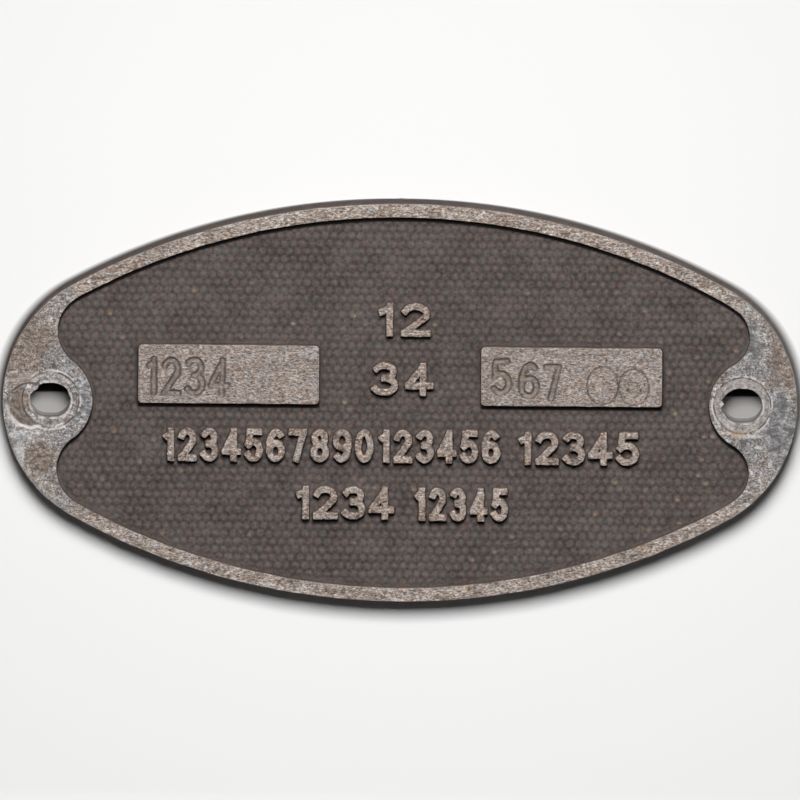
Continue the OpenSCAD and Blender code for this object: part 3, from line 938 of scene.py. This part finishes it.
class Graph:
    """A material's nodes. Places are in millimetres of the plate, so a pattern keeps its size."""

    def __init__(self, name):
        self.material = bpy.data.materials.new(name)
        self.material.use_nodes = True
        self.tree = self.material.node_tree
        self.shader = self.tree.nodes["Principled BSDF"]
        self.place = self.moved(self.give("ShaderNodeTexCoord", "Object"), (1000, 1000, 1000))
        parts = self.new("ShaderNodeSeparateXYZ", self.place)
        self.x, self.y, self.z = (Signal(self, socket) for socket in parts.outputs)

    def new(self, kind, *values, **settings):
        """A node with its first inputs set or linked."""
        node = self.tree.nodes.new(kind)
        for key, value in settings.items():
            setattr(node, key, value)
        for socket, value in zip(node.inputs, values):
            self.put(socket, value)
        return node

    def give(self, kind, output, *values, **settings):
        """An output of a new node."""
        return Signal(self, self.new(kind, *values, **settings).outputs[output])

    def put(self, socket, value):
        if isinstance(value, Signal):
            self.tree.links.new(value.socket, socket)
        else:
            socket.default_value = value

    def fill(self, node, wanted):
        """Sets or links a node's inputs by name."""
        for name, value in wanted.items():
            self.put(node.inputs[name], value)
        return Signal(self, node.outputs[0])

    def moved(self, place, scale, shift=(0, 0, 0), turn=(0, 0, 0)):
        return self.give("ShaderNodeMapping", 0, place, shift, turn, scale)

    def math(self, operation, a, b=0.0, clamp=False):
        return self.give("ShaderNodeMath", 0, a, b, operation=operation, use_clamp=clamp)

    def noise(self, size, detail, rough, long=1, shift=0.0, turn=0.0, warp=0.0, place=None):
        """Noise from 0 to 1 whose coarsest blots are about a size in millimetres, longer along the plate."""
        place = self.moved(place or self.place, (1 / long, 1, 1), (shift, shift * 0.7, -shift), (0, turn, 0))
        node = self.new("ShaderNodeTexNoise", place)
        return self.fill(node, {"Scale": 1 / size, "Detail": detail, "Roughness": rough, "Distortion": warp})

    def step(self, value, low, high):
        """0 below low and 1 above high, or the other way round where high is below low."""
        ends = (1.0, 0.0) if low > high else (0.0, 1.0)
        return self.give("ShaderNodeMapRange", 0, value, min(low, high), max(low, high), *ends,
                         interpolation_type="SMOOTHSTEP")

    def patches(self, begin, full, *noise, **more):
        """Patches of noise: 0 where it is below begin and 1 where it is above full."""
        return self.step(self.noise(*noise, **more), begin, full)

    def ramp(self, value, stops):
        node = self.new("ShaderNodeValToRGB", value)
        points = node.color_ramp.elements
        while len(points) < len(stops):
            points.new(0.5)
        for point, (at, colour) in zip(points, stops):
            point.position = at
            point.color = (*colour, 1)
        return Signal(self, node.outputs[0])

    def mix(self, share, a, b, blend="MIX"):
        node = self.new("ShaderNodeMix", share, data_type="RGBA", blend_type=blend)
        for socket, value in zip(node.inputs[6:8], (a, b)):
            self.put(socket, (*value, 1) if isinstance(value, tuple) else value)
        return Signal(self, node.outputs[2])

    def blend(self, share, a, b):
        """A number that goes from a to b with a share from 0 to 1."""
        node = self.new("ShaderNodeMix", share, data_type="FLOAT")
        for socket, value in zip(node.inputs[2:4], (a, b)):
            self.put(socket, value)
        return Signal(self, node.outputs[0])

    def coat(self, share, colour, coat):
        """The colour with a coat over it, by a share from 0 to 1."""
        return self.mix(share * coat.strength, colour, coat.tint, coat.blend)

    def layers(self, colour, layers):
        for layer in layers:
            noise = self.noise(layer.size, layer.detail, layer.rough, layer.long, layer.shift)
            colour = self.coat(self.step(noise, layer.begin, layer.full), colour, layer)
        return colour

    def attribute(self, name):
        return self.give("ShaderNodeAttribute", "Fac", attribute_name=name)

    def gritty(self, colour, strength, long=1.4):
        """The colour with grit from grinding: fine dark and bright points, drawn out along the plate."""
        grit = self.patches(0.37, 0.63, 0.36, 2, 0.8, long, 61)
        dark = tuple(1 - strength * k for k in (0.48, 0.51, 0.53))
        bright = tuple(1 + strength * k for k in (0.46, 0.46, 0.47))
        return self.mix(1.0, colour, self.mix(grit, dark, bright), "MULTIPLY")

    def far(self, x, z, half_w=1.0, half_h=1.0):
        """Distance over the plate from a place, or 1 at an oval of half sizes round it."""
        dx, dz = (self.x - x) / half_w, (self.z - z) / half_h
        return (dx * dx + dz * dz).root()

    def bump(self, height, distance, under=None):
        wanted = {"Distance": distance * MM, "Height": height}
        if under is not None:
            wanted["Normal"] = under
        return self.fill(self.new("ShaderNodeBump"), wanted)

    def finish(self, colour, rough, metal, normal, specular):
        self.fill(self.shader, {"Base Color": colour, "Roughness": rough, "Metallic": metal,
                                "Normal": normal, "Specular IOR Level": specular})
        return self.material


# Colours, as linear red, green and blue
# The second colour is the near-black of painted shade and painted shadow
DIRT, SHADE_BLACK = (0.060, 0.043, 0.034), (0.016, 0.013, 0.012)
BORE_GREY, BRIGHT_METAL = (0.25, 0.240, 0.232), (0.52, 0.51, 0.505)
TAN, PALE_TAN = (0.40, 0.235, 0.135), (0.44, 0.36, 0.26)
# What lies over other colours, with how strongly it covers them at most
Coat = namedtuple("Coat", "tint strength blend", defaults=["MIX"])
# Some of these are painted light: painted shade in the dimples, a painted highlight on the studs' tips,
# painted shadow under raised walls, painted shade under the stamped strokes' upper edges and a painted
# highlight on the crescent's lower lip
DIMPLE_DIRT_AND_SHADE, THIN_PAINT_AND_HIGHLIGHT = Coat((0.030, 0.024, 0.022), 0.78), Coat((0.175, 0.147, 0.134), 0.6)
GROUND_SHADOW, WALL_TINT = Coat(SHADE_BLACK, 0.92), Coat((0.86, 0.78, 0.72), 0.9, "MULTIPLY")
PIT_DIRT, PRIMING = Coat(DIRT, 0.8), Coat((0.185, 0.118, 0.084), 0.75)
STAMP_DIRT, LINE_DIRT_AND_SHADE = Coat((0.150, 0.118, 0.100), 0.58), Coat((0.070, 0.053, 0.045), 0.85)
CRACK, PUSHED_UP, LOWER_LIP_HIGHLIGHT = Coat(DIRT, 0.85), Coat(BRIGHT_METAL, 0.85), Coat(BRIGHT_METAL, 0.8)
TORN_LIP, GOUGE_SHADE = Coat((0.075, 0.062, 0.056), 0.7), Coat((0.075, 0.058, 0.048), 0.75)
RUST, SEEP = Coat((0.30, 0.15, 0.062), 0.6), Coat((0.42, 0.22, 0.09), 0.8)
# The first colour is a polished edge's, partly a painted highlight. The others place and set the holes'
# painted shade
POLISH_AND_HIGHLIGHT, BORE_REACH, BORE_STRENGTH = (0.60, 0.56, 0.53), (6.0, 5.6), 0.92
# Tones are (noise, colour) stops from dark to light
PAINT_TONES = [(0.36, (0.048, 0.038, 0.035)), (0.5, (0.094, 0.075, 0.070)), (0.64, (0.146, 0.120, 0.112))]
SKIN_TONES = [(0.28, (0.15, 0.14, 0.135)), (0.5, (0.27, 0.262, 0.252)), (0.74, (0.38, 0.372, 0.36))]
GOUGE_TONES = [(0.36, (0.065, 0.048, 0.040)), (0.52, (0.145, 0.110, 0.090)), (0.70, (0.27, 0.22, 0.19))]
BORDER_TONES = [(0.36, (0.092, 0.068, 0.054)), (0.445, (0.198, 0.161, 0.137)), (0.52, (0.305, 0.262, 0.234)),
                (0.63, (0.49, 0.446, 0.410))]
LUG_TONES = [(0.36, (0.085, 0.074, 0.067)), (0.445, (0.175, 0.157, 0.145)), (0.52, (0.28, 0.26, 0.247)),
             (0.63, (0.49, 0.47, 0.455))]
PANEL_TONES = [(0.34, (0.135, 0.106, 0.090)), (0.44, (0.208, 0.173, 0.153)), (0.52, (0.270, 0.232, 0.210)),
               (0.64, (0.365, 0.330, 0.308))]
DIGIT_TONES = [(0.37, (0.070, 0.049, 0.038)), (0.445, (0.182, 0.140, 0.117)), (0.52, (0.290, 0.234, 0.202)),
               (0.62, (0.450, 0.386, 0.344))]

PAINT_LAYERS = [
    Layer((0.078, 0.084, 0.078), 0.6, 1.4, 2, 0.5, 19, 0.50, 0.66),
    Layer((0.124, 0.080, 0.066), 0.5, 1.7, 2, 0.5, 20, 0.52, 0.68),
]
SKIN_LAYERS = [Layer((0.12, 0.092, 0.072), 0.55, 16, 4, 0.6, 37, 0.48, 0.72)]
HANDLING_LAYERS = [
    Layer((1.12, 0.94, 0.76), 0.6, 0.8, 3, 0.8, 25, 0.48, 0.62, 2.2, "MULTIPLY"),
    Layer((0.84, 0.98, 1.12), 0.7, 1.0, 3, 0.8, 28, 0.50, 0.62, 2.2, "MULTIPLY"),
]
FLECK_LAYERS = [Layer((0.60, 0.56, 0.52), 0.6, 0.75, 3, 0.7, 15, 0.60, 0.68, 1.8)]
STAIN_LAYERS = [Layer((0.085, 0.066, 0.056), 0.6, 1.1, 4, 0.7, 59, 0.57, 0.66)]


def paint_colour(g):
    """Dark brown paint, faded in patches and specked with dust."""
    tone = g.noise(7, 3, 0.7) * 0.45 + g.noise(0.7, 3, 0.8, shift=7) * 0.55
    return g.layers(g.ramp(tone, PAINT_TONES), PAINT_LAYERS)


def bore_colour(g, colour):
    """Painted shade inside the holes: black above, grey at the sides and below, as the light reaches it."""
    grey = g.mix(g.step(g.z, 1.5, -1.5), SHADE_BLACK, BORE_GREY)
    for x in HOLES.values():
        colour = g.coat(g.step(g.far(x, 0), *BORE_REACH), colour, Coat(grey, BORE_STRENGTH))
    return colour


def painted_plate():
    """The ground and the outer wall: paint over studs, with tips worn to tan, and the bare cast back."""
    g = Graph("painted_ground_finish")
    share, worn = g.attribute("level"), g.attribute("wear")
    # Dirt and painted shade darken the dimples between the studs, and painted shadow the ground under raised
    # walls.
    # The paint has worn thin on the studs' tips, which are lighter partly as a painted highlight, and
    # painted light lightens the ground above raised walls the same way
    colour = g.coat(g.step(share, 0.60, 0.10), paint_colour(g), DIMPLE_DIRT_AND_SHADE)
    thin = g.step(share, 0.55, 0.95) * g.patches(0.36, 0.62, 0.9, 3, 0.7, shift=3)
    colour = g.coat(thin, colour, THIN_PAINT_AND_HIGHLIGHT)
    # Above 0 the value stands for a tip worn to tan, and below 0 for painted shadow
    tan = worn.math("MULTIPLY", g.patches(0.25, 0.55, 0.45, 2, 0.6, shift=5), clamp=True)
    colour = g.mix(tan, colour, g.mix(g.patches(0.42, 0.58, 4.0, 2, 0.5, shift=6), TAN, PALE_TAN))
    colour = g.coat(g.step(worn, -0.15, -0.85), colour, GROUND_SHADOW)
    # The outer wall is a browner coat than the ground
    colour = g.coat(g.step(g.y, -3.5, -3.2), colour, WALL_TINT)
    # The holes' bores get their painted shade
    colour = bore_colour(g, colour)
    # The back and the back edge were never painted on purpose: cast skin with overspray from the wall
    bare = g.step(g.y, -0.45, -0.08) * g.patches(0.30, 0.46, 3, 4, 0.7, shift=41)
    skin = g.layers(g.ramp(g.noise(2.2, 5, 0.65, shift=31), SKIN_TONES), SKIN_LAYERS)
    colour = g.mix(bare, colour, skin)
    rough = g.blend(g.noise(2.5, 3, 0.6, shift=43), 0.72, 0.92)
    normal = g.bump(g.noise(0.55, 3, 0.7, shift=2), 0.08, g.bump(g.noise(1.4, 4, 0.6, shift=9), 0.12))
    return g.finish(colour, rough, bare * 0.35, normal, 0.12)


def bare_metal(name, tones, mottle, grain, pits, smear=None, base_rough=0.56, edge=0.66, edge_polish_and_highlight=0.65):
    """Ground metal with mottling, grain and dirty pits on the faces, and paint down the walls. Mottle,
    grain and pits are each a size and how long it is drawn, and for pits the noise that they start at."""
    g = Graph(name)
    level = g.attribute("level")
    wide = g.noise(mottle[0], 4, 0.62, mottle[1], shift=1)
    fine = g.noise(grain[0], 3, 0.75, grain[1], shift=4)
    tone = wide * 0.35 + fine * 0.65
    colour = g.layers(g.gritty(g.ramp(tone, tones), 1.0, grain[1]), HANDLING_LAYERS)
    pitted = g.patches(pits[2], pits[2] + 0.07, pits[0], 3, 0.7, pits[1], shift=12)
    colour = g.layers(g.coat(pitted, colour, PIT_DIRT), FLECK_LAYERS)
    rough = g.blend(g.noise(0.9, 3, 0.6, shift=18), base_rough - 0.1, base_rough + 0.16)
    height = tone * 0.8 - pitted * 0.6
    if smear is not None:
        colour, rough, height = smear(g, colour, rough, height)
    # The very edge is polished by handling, and its bright line is partly a painted highlight
    line = g.step(level, 0.83, 0.88) * g.step(level, 0.999, 0.96)
    line = line * g.patches(0.40, 0.56, 4.0, 3, 0.6, shift=29)
    colour = g.coat(line, colour, Coat(POLISH_AND_HIGHLIGHT, edge_polish_and_highlight))
    # Paint keeps to the walls. It ends in a ragged line just under the ground edge.
    ragged = level + (g.noise(0.9, 4, 0.7, shift=22) - 0.5) * 0.5
    bare = g.step(ragged, edge, edge + 0.10)
    # High on the walls the paint is thin, and tan priming shows
    wall = g.coat(g.step(ragged, 0.25, 0.55), paint_colour(g), PRIMING)
    colour = g.mix(bare, wall, colour)
    normal = g.bump(height, 0.16)
    return g.finish(colour, g.blend(bare, 0.85, rough), bare * 0.5, normal, g.blend(bare, 0.12, 0.5))


# How a part of a lug's metal looks: its noise, how gritty it is, its roughness if it has its own, and tones
Look = namedtuple("Look", "size rough long shift warp turn grit shine tones")
LOOKS = {
    "slick": Look(1.7, 0.6, 1.4, 53, 0.8, 0.5, 0.6, 0.42, [
        (0.38, (0.070, 0.070, 0.073)), (0.49, (0.140, 0.141, 0.147)), (0.57, (0.240, 0.242, 0.250)),
        (0.66, (0.47, 0.475, 0.49))]),
    "scaly": Look(0.9, 0.75, 1, 55, 1.5, 0.0, 0.8, None, [
        (0.40, (0.075, 0.068, 0.065)), (0.49, (0.19, 0.182, 0.180)), (0.56, (0.28, 0.272, 0.272)),
        (0.66, (0.50, 0.50, 0.51))]),
    "brown": Look(1.0, 0.75, 1.8, 56, 0.0, 0.0, 0.9, None, [
        (0.38, (0.075, 0.052, 0.040)), (0.48, (0.155, 0.118, 0.095)), (0.58, (0.25, 0.205, 0.172)),
        (0.68, (0.42, 0.37, 0.33))]),
    "bright": Look(1.3, 0.7, 1, 58, 0.0, 0.0, 0.4, 0.42, [
        (0.36, (0.24, 0.23, 0.225)), (0.6, (0.50, 0.50, 0.505))]),
    "pale": Look(1.0, 0.7, 3.5, 62, 0.0, 0.0, 0.4, None, [
        (0.38, (0.17, 0.138, 0.116)), (0.50, (0.30, 0.258, 0.226)), (0.62, (0.55, 0.50, 0.455))]),
}
# Zones of the lugs: a look, and an oval's middle, half width and half height
ZONES = {
    -1: [("brown", -92.5, 12.0, 6.5, 9.5), ("scaly", -84.6, 9.6, 5.0, 4.2), ("slick", -79.8, 0.2, 3.0, 6.8),
         ("scaly", -83.4, -9.6, 4.2, 3.6), ("brown", -90.5, -15.0, 4.5, 3.6), ("pale", -94.6, 5.2, 3.0, 2.2),
         ("bright", -94.4, -9.0, 3.3, 1.1), ("bright", -95.0, -13.6, 0.9, 3.4)],
    1: [("brown", 96.0, 11.0, 3.6, 8.5), ("slick", 88.2, 13.6, 2.8, 6.6), ("slick", 95.2, -5.4, 3.8, 9.0),
        ("scaly", 87.2, 8.8, 5.0, 2.2), ("scaly", 86.4, -11.6, 4.4, 3.6), ("bright", 90.2, -10.6, 1.3, 0.4),
        ("bright", 92.9, -14.6, 0.5, 0.9), ("bright", 87.4, -7.7, 2.8, 0.5)],
}
# The heads' prints: the left one is blotched and gritty, the right one is cleaner
PRINT_TONES = {
    -1: [(0.39, (0.080, 0.067, 0.061)), (0.47, (0.215, 0.192, 0.181)), (0.54, (0.325, 0.301, 0.287)),
         (0.62, (0.56, 0.54, 0.525))],
    1: [(0.36, (0.120, 0.104, 0.097)), (0.46, (0.255, 0.231, 0.219)), (0.55, (0.335, 0.311, 0.297)),
        (0.66, (0.52, 0.50, 0.485))],
}
PRINT_GRIT, PRINT_RIM = {-1: 0.7, 1: 0.4}, 7.15
PRINT_STRENGTH, ZONE_STRENGTH, SCRAPE_STRENGTH, BROWN_STRENGTH = 0.9, 0.85, 0.6, 0.9
# How far the zones' edges wander, where the scraped patches end, the rusty spot in the crescent, and the
# run under the right print: its place along the plate and its distance from the hole's middle
WANDER, SCRAPED_TO, RUST_SPOT, RUST_R, SEEP_X, SEEP_OUT = 2.6, (12.5, 9.5), (-93.6, -0.4), 2.2, 84.8, 7.5


def zone_looks(g, side, wander, colour, rough):
    """The hammered metal round a hole, zone by zone. The scales' noise is given back for the bump."""
    noises = {kind: g.noise(a.size, 4, a.rough, a.long, a.shift, a.turn * side, a.warp)
              for kind, a in LOOKS.items()}
    looks = {kind: g.gritty(g.ramp(noises[kind], a.tones), a.grit) for kind, a in LOOKS.items()}
    for kind, *oval in ZONES[side]:
        here = g.step(g.far(*oval) + wander, 1.25, 0.85)
        colour = g.coat(here, colour, Coat(looks[kind], ZONE_STRENGTH))
        if LOOKS[kind].shine is not None:
            rough = g.blend(here, rough, LOOKS[kind].shine)
    return colour, rough, noises["scaly"]


def head_print(g, side, far, wander, colour, rough):
    """The print of a fastener's head: smooth, pinkish grey, with turning marks round the hole."""
    printed = g.step(far + wander * 0.35, 7.3, 6.7)
    # Marks that run round: the noise changes fast outward and slowly round the hole
    round_it = g.math("ARCTAN2", g.z, g.x - HOLES[side]) * 0.6
    place = g.give("ShaderNodeCombineXYZ", 0, far, round_it, 0.0)
    turned = g.noise(0.45, 2, 0.6, shift=64, place=place)
    tone = g.noise(1.5, 4, 0.65, shift=54, warp=0.6) * 0.65 + turned * 0.35
    grey = g.gritty(g.ramp(tone, PRINT_TONES[side]), PRINT_GRIT[side])
    return g.coat(printed, colour, Coat(grey, PRINT_STRENGTH)), g.blend(printed, rough, 0.5)


def print_edge(g, side, far, wander, colour):
    """Round the print run a bright line where metal was pushed up, and inside it a dark crack."""
    from_edge = far + wander * 0.25 - PRINT_RIM
    shown = g.patches(0.44, 0.54, 3.6, 3, 0.6, shift=57)
    if side < 0:
        # It is whole at the print's lower left
        x = HOLES[side]
        shown = shown.at_least(g.step(g.z, -1.6, -3.2) * g.step(g.x, x + 4.2, x + 2.6))
    bright = g.step(abs(from_edge - 0.38), 0.34, 0.14) * shown
    colour = g.coat(bright, colour, PUSHED_UP)
    crack = g.step(abs(from_edge), 0.26, 0.08) * g.patches(0.60, 0.46, 3.0, 3, 0.6, shift=60)
    return g.coat(crack, colour, CRACK)


def hole_lip(g, side, wander, colour):
    """The hole's lip is worn bright in places, and torn dark in others."""
    off = (abs(g.x - HOLES[side]) - HOLE_TRAVEL / 2).at_least(0.0)
    from_hole = (off * off + g.z * g.z).root() + wander * 0.12 - HOLE_R
    lip_noise = g.noise(2.2, 3, 0.6, shift=68)
    lip = g.step(from_hole, 0.75, 0.45) * g.step(lip_noise, 0.46, 0.56)
    colour = g.coat(lip, colour, PUSHED_UP)
    torn = g.step(from_hole, 1.1, 0.6) * g.step(lip_noise, 0.42, 0.36)
    return g.coat(torn, colour, TORN_LIP)


def lug_smear(g, side, colour, rough, height):
    """Round a hole the metal was hammered and smeared, and a fastener left its print."""
    far = g.far(HOLES[side], 0)
    wander = (g.noise(2.2, 4, 0.7, shift=51) - 0.5) * WANDER
    colour, rough, scales = zone_looks(g, side, wander, colour, rough)
    colour, rough = head_print(g, side, far, wander, colour, rough)
    colour = print_edge(g, side, far, wander, colour)
    colour = hole_lip(g, side, wander, colour)
    # Patches of bright, freshly scraped metal, and stains
    scraped = g.patches(0.58, 0.68, 2.6, 4, 0.6, 2.2, shift=67, turn=0.5 * side, warp=1.6)
    scraped = scraped * g.step(far, *SCRAPED_TO)
    colour = g.coat(scraped, colour, Coat(g.gritty(BRIGHT_METAL, 0.6), SCRAPE_STRENGTH))
    colour = g.layers(colour, STAIN_LAYERS)
    # Inside the bore, below a bare upper rim, lies the holes' painted shade
    inside = g.step(g.y, -PLATE_T + 0.6, -PLATE_T + 0.9)
    return g.mix(inside, colour, bore_colour(g, colour)), rough, height + scales * 0.8


def left_smear(g, colour, rough, height):
    """With the crescent bitten out of the left lug: brown inside, with a rusty middle."""
    colour, rough, height = lug_smear(g, -1, colour, rough, height)
    bite, into = GOUGE["bite"]
    keep_out, out = GOUGE["keep_out"]
    from_bite, outside = g.far(*bite), g.step(g.far(*keep_out), out + 0.1, out + 0.7)
    inside = g.step(from_bite, into - 0.5, into - 1.0) * outside
    brown = g.ramp(g.noise(1.0, 4, 0.7, shift=71), GOUGE_TONES)
    colour = g.coat(inside, colour, Coat(brown, BROWN_STRENGTH))
    # Along the crescent's rim: painted shade on the upper lip, and a painted highlight on the lower lip
    lip = g.step(abs(from_bite - (into - 0.25)), 0.5, 0.15)
    colour = g.coat(lip * g.step(g.z, 1.0, 2.8), colour, GOUGE_SHADE)
    colour = g.coat(lip * g.step(g.z, -0.6, -2.8) * outside, colour, LOWER_LIP_HIGHLIGHT)
    rusty = g.step(g.far(*RUST_SPOT), RUST_R, 0.3) * g.patches(0.4, 0.6, 0.7, 3, 0.6, shift=73)
    return g.coat(rusty, colour, RUST), rough, height


def right_smear(g, colour, rough, height):
    """With a thin rusty run under the right-hand head's print."""
    colour, rough, height = lug_smear(g, 1, colour, rough, height)
    here = g.step(abs(g.far(HOLES[1], 0) - SEEP_OUT), 0.5, 0.1) * g.step(abs(g.x - SEEP_X), 2.6, 1.2)
    here = here * g.step(g.z, -5.8, -6.6) * g.patches(0.34, 0.5, 1.0, 3, 0.6, shift=75)
    return g.coat(here, colour, SEEP), rough, height


def stamp_smear(g, colour, rough, height):
    """Old paint and dirt are left in the stamped strokes, with painted shade under their upper edges."""
    low = g.step(g.y, -PLATE_T + 0.15, -PLATE_T + 0.45) * g.patches(0.2, 0.45, 0.8, 3, 0.7, shift=81)
    colour = g.coat(low, colour, STAMP_DIRT)
    # Dirt along the strokes' walls, darker under their upper edges as painted shade
    line = g.attribute("wear") * g.patches(0.26, 0.46, 1.1, 3, 0.7, shift=83)
    return g.coat(line, colour, LINE_DIRT_AND_SHADE), rough, height


def border_metal():
    return bare_metal("ground_border_finish", BORDER_TONES, (2.4, 2.2), (0.65, 2.2), (0.65, 1.8, 0.60),
                      edge_polish_and_highlight=0.4)


def digit_metal():
    return bare_metal("raised_digit_finish", DIGIT_TONES, (1.8, 1.6), (0.6, 1.9), (0.5, 1.5, 0.565),
                      edge=0.74, edge_polish_and_highlight=0.2)


def panel_metal():
    return bare_metal("panel_metal_finish", PANEL_TONES, (2.2, 2.6), (0.6, 2.4), (0.5, 1.9, 0.595),
                      stamp_smear)


def lug_metal(name, smear):
    return bare_metal(name, LUG_TONES, (2.4, 1.3), (0.75, 1.4), (0.8, 1.3, 0.60), smear, 0.52)


def make_pieces():
    make_plate(painted_plate())
    border = border_metal()
    make_border("upper_border_metal", 1, border)
    make_border("lower_border_metal", -1, border)
    make_lug("left_lug_metal", -1, lug_metal("lug_metal_finish_left", left_smear))
    make_lug("right_lug_metal", 1, lug_metal("lug_metal_finish_right", right_smear))
    panel = panel_metal()
    make_panel("left_panel_metal", -1, panel)
    make_panel("right_panel_metal", 1, panel)
    digits = digit_metal()
    for name in ROWS:
        make_row(name, digits)


# Camera: square on to the face as the photograph is, a little from above, with no perspective.
# The middle of the face lies so many pixels below the middle of the picture.
MM_PER_PIXEL, PICTURE, AIM_DOWN = 0.2508, 800, 3.0
CAMERA_LIFT, CAMERA_ROLL, CAMERA_FAR = math.radians(10), math.radians(0.5), 0.7


def make_camera():
    data = bpy.data.cameras.new("camera")
    data.type = "ORTHO"
    data.ortho_scale = PICTURE * MM_PER_PIXEL * MM
    data.dof.use_dof = False
    camera = show("camera", data)
    turn = Matrix.Rotation(math.pi / 2 - CAMERA_LIFT, 3, "X") @ Matrix.Rotation(CAMERA_ROLL, 3, "Z")
    up, back = turn.col[1], turn.col[2]
    aim = Vector((0, -PLATE_T * MM, 0)) + up * AIM_DOWN * MM_PER_PIXEL * MM
    camera.matrix_world = Matrix.Translation(aim + back * CAMERA_FAR) @ turn.to_4x4()
    bpy.context.scene.camera = camera


# Lamps: name, place in metres, size along X and the other way in metres, power, and the way that it faces.
# The key lamp hangs over the front like a strip light. It faces down and lights the top and bottom alike.
DOWN, FORWARD, TO_RIGHT, TO_LEFT = (0, 0, -1), (0, -1, 0), (1, -0.15, 0), (-1, -0.15, 0)
LAMPS = [
    ("key", (0.0, -0.70, 0.405), 0.32, 0.60, 13.2, DOWN),
    ("behind", (0.3, 1.6, 0.0), 1.2, 1.2, 22.0, FORWARD),
    ("left_edge", (-1.3, 0.2, 0.1), 0.7, 0.7, 4.0, TO_RIGHT),
    ("right_edge", (1.3, 0.2, 0.1), 0.7, 0.7, 4.0, TO_LEFT),
]
WORLD_LIGHT, WORLD_SEEN = 0.03, 0.92


def make_lights():
    for name, place, width, height, power, way in LAMPS:
        data = bpy.data.lights.new(name, "AREA")
        data.shape, data.size, data.size_y, data.energy = "RECTANGLE", width, height, power
        lamp = show(name, data)
        lamp.location = place
        lamp.rotation_euler = Vector(way).to_track_quat("-Z", "Y").to_euler()


def make_world():
    world = bpy.data.worlds.new("studio")
    bpy.context.scene.world = world
    world.use_nodes = True
    nodes, links = world.node_tree.nodes, world.node_tree.links
    lit, seen = nodes["Background"], nodes.new("ShaderNodeBackground")
    for node, strength in ((lit, WORLD_LIGHT), (seen, WORLD_SEEN)):
        node.inputs[0].default_value = (1, 1, 1, 1)
        node.inputs[1].default_value = strength
    path, either = nodes.new("ShaderNodeLightPath"), nodes.new("ShaderNodeMixShader")
    links.new(path.outputs["Is Camera Ray"], either.inputs[0])
    links.new(lit.outputs[0], either.inputs[1])
    links.new(seen.outputs[0], either.inputs[2])
    links.new(either.outputs[0], nodes["World Output"].inputs[0])


# Stage, in metres: a wall just behind the plate that sweeps down into a floor below the picture
WALL_Y, FLOOR_Z, SWEEP_R, STAGE_HALF, STAGE_FRONT, STAGE_TOP = 0.0001, -0.13, 0.03, 0.9, -0.9, 0.9
STAGE_COLOUR, STAGE_PAINTED_SHADOW = (0.93, 0.925, 0.92), (0.155, 0.150, 0.146)
# The paper close beside the plate carries a painted shadow. The share of full colour rises outward along X,
# and it rises with each millimetre above the plate's top or below a height.
PAINTED_SHADOW_REACH, TOP_FADE, LOW_FADE, LOW_FROM = 2.2, 5.0, 0.06, -4.0
# Behind each hole the paper is painted grey as shade, and black above a height as painted shadow
HOLE_SHADE_GREY, HOLE_SHADOW_Z, GREY_REACH = (0.37, 0.358, 0.350), {-1: 1.15, 1: 1.45}, 9.0


def beside_plate(g):
    """0 on the paper right beside the plate, where its painted shadow is full, and 1 a little further out
    along X.
    """
    high = abs(g.z)
    on_end = (END_R ** 2 - g.z * g.z).root()
    from_middle = high + SIDE_DROP
    on_side = (SIDE_R ** 2 - from_middle * from_middle).at_least(0.0).root()
    edge = g.blend(high.math("GREATER_THAN", END_R * math.sin(JOIN)), on_end + END_X, on_side)
    share = (abs(g.x) - edge) / PAINTED_SHADOW_REACH + (high - PLATE_H / 2).at_least(0.0) * TOP_FADE
    return share.math("ADD", (LOW_FROM - g.z).at_least(0.0) * LOW_FADE, clamp=True)


def stage_material():
    """White paper, with a painted shadow beside the plate and painted shade behind the holes. From behind it
    is clear, and light passes it, so that the plate's back shows too.
    """
    g = Graph("white_sweep")
    # Painted shadow on the paper beside the plate
    colour = g.mix(beside_plate(g), STAGE_PAINTED_SHADOW, STAGE_COLOUR)
    # Painted shade behind each hole, with painted shadow above a height
    for side, x in HOLES.items():
        shadow_from = HOLE_SHADOW_Z[side]
        grey = g.mix(g.step(g.z, shadow_from - 0.5, shadow_from + 0.2), HOLE_SHADE_GREY, SHADE_BLACK)
        colour = g.mix(g.step(g.far(x, 0), GREY_REACH, GREY_REACH - 0.1), colour, grey)
    paper = g.fill(g.shader, {"Base Color": colour, "Roughness": 0.9, "Specular IOR Level": 0.1})
    rays = ("Is Camera Ray", "Is Glossy Ray", "Is Transmission Ray")
    seen, mirrored, through = (g.give("ShaderNodeLightPath", ray) for ray in rays)
    shows = seen.at_least(mirrored).at_least(through)
    behind = g.give("ShaderNodeNewGeometry", "Backfacing")
    clear = g.give("ShaderNodeBsdfTransparent", 0)
    either = g.give("ShaderNodeMixShader", 0, shows.math("SUBTRACT", behind, clamp=True), clear, paper)
    g.put(g.tree.nodes["Material Output"].inputs[0], either)
    return g.material


def make_stage():
    bend = [(WALL_Y - SWEEP_R + SWEEP_R * math.cos(a), FLOOR_Z + SWEEP_R - SWEEP_R * math.sin(a))
            for a in np.linspace(0, math.pi / 2, 17)]
    profile = [(WALL_Y, STAGE_TOP)] + bend + [(STAGE_FRONT, FLOOR_Z)]
    points = [(x, y, z) for y, z in profile for x in (-STAGE_HALF, STAGE_HALF)]
    faces = [(2 * i + 2, 2 * i + 3, 2 * i + 1, 2 * i) for i in range(len(profile) - 1)]
    mesh = bpy.data.meshes.new("sweep")
    mesh.from_pydata(points, [], faces)
    mesh.polygons.foreach_set("use_smooth", [True] * len(faces))
    mesh.materials.append(stage_material())
    show("sweep", mesh)


make_pieces()
make_camera()
make_lights()
make_world()
make_stage()
bpy.context.scene.view_settings.view_transform = "Standard"
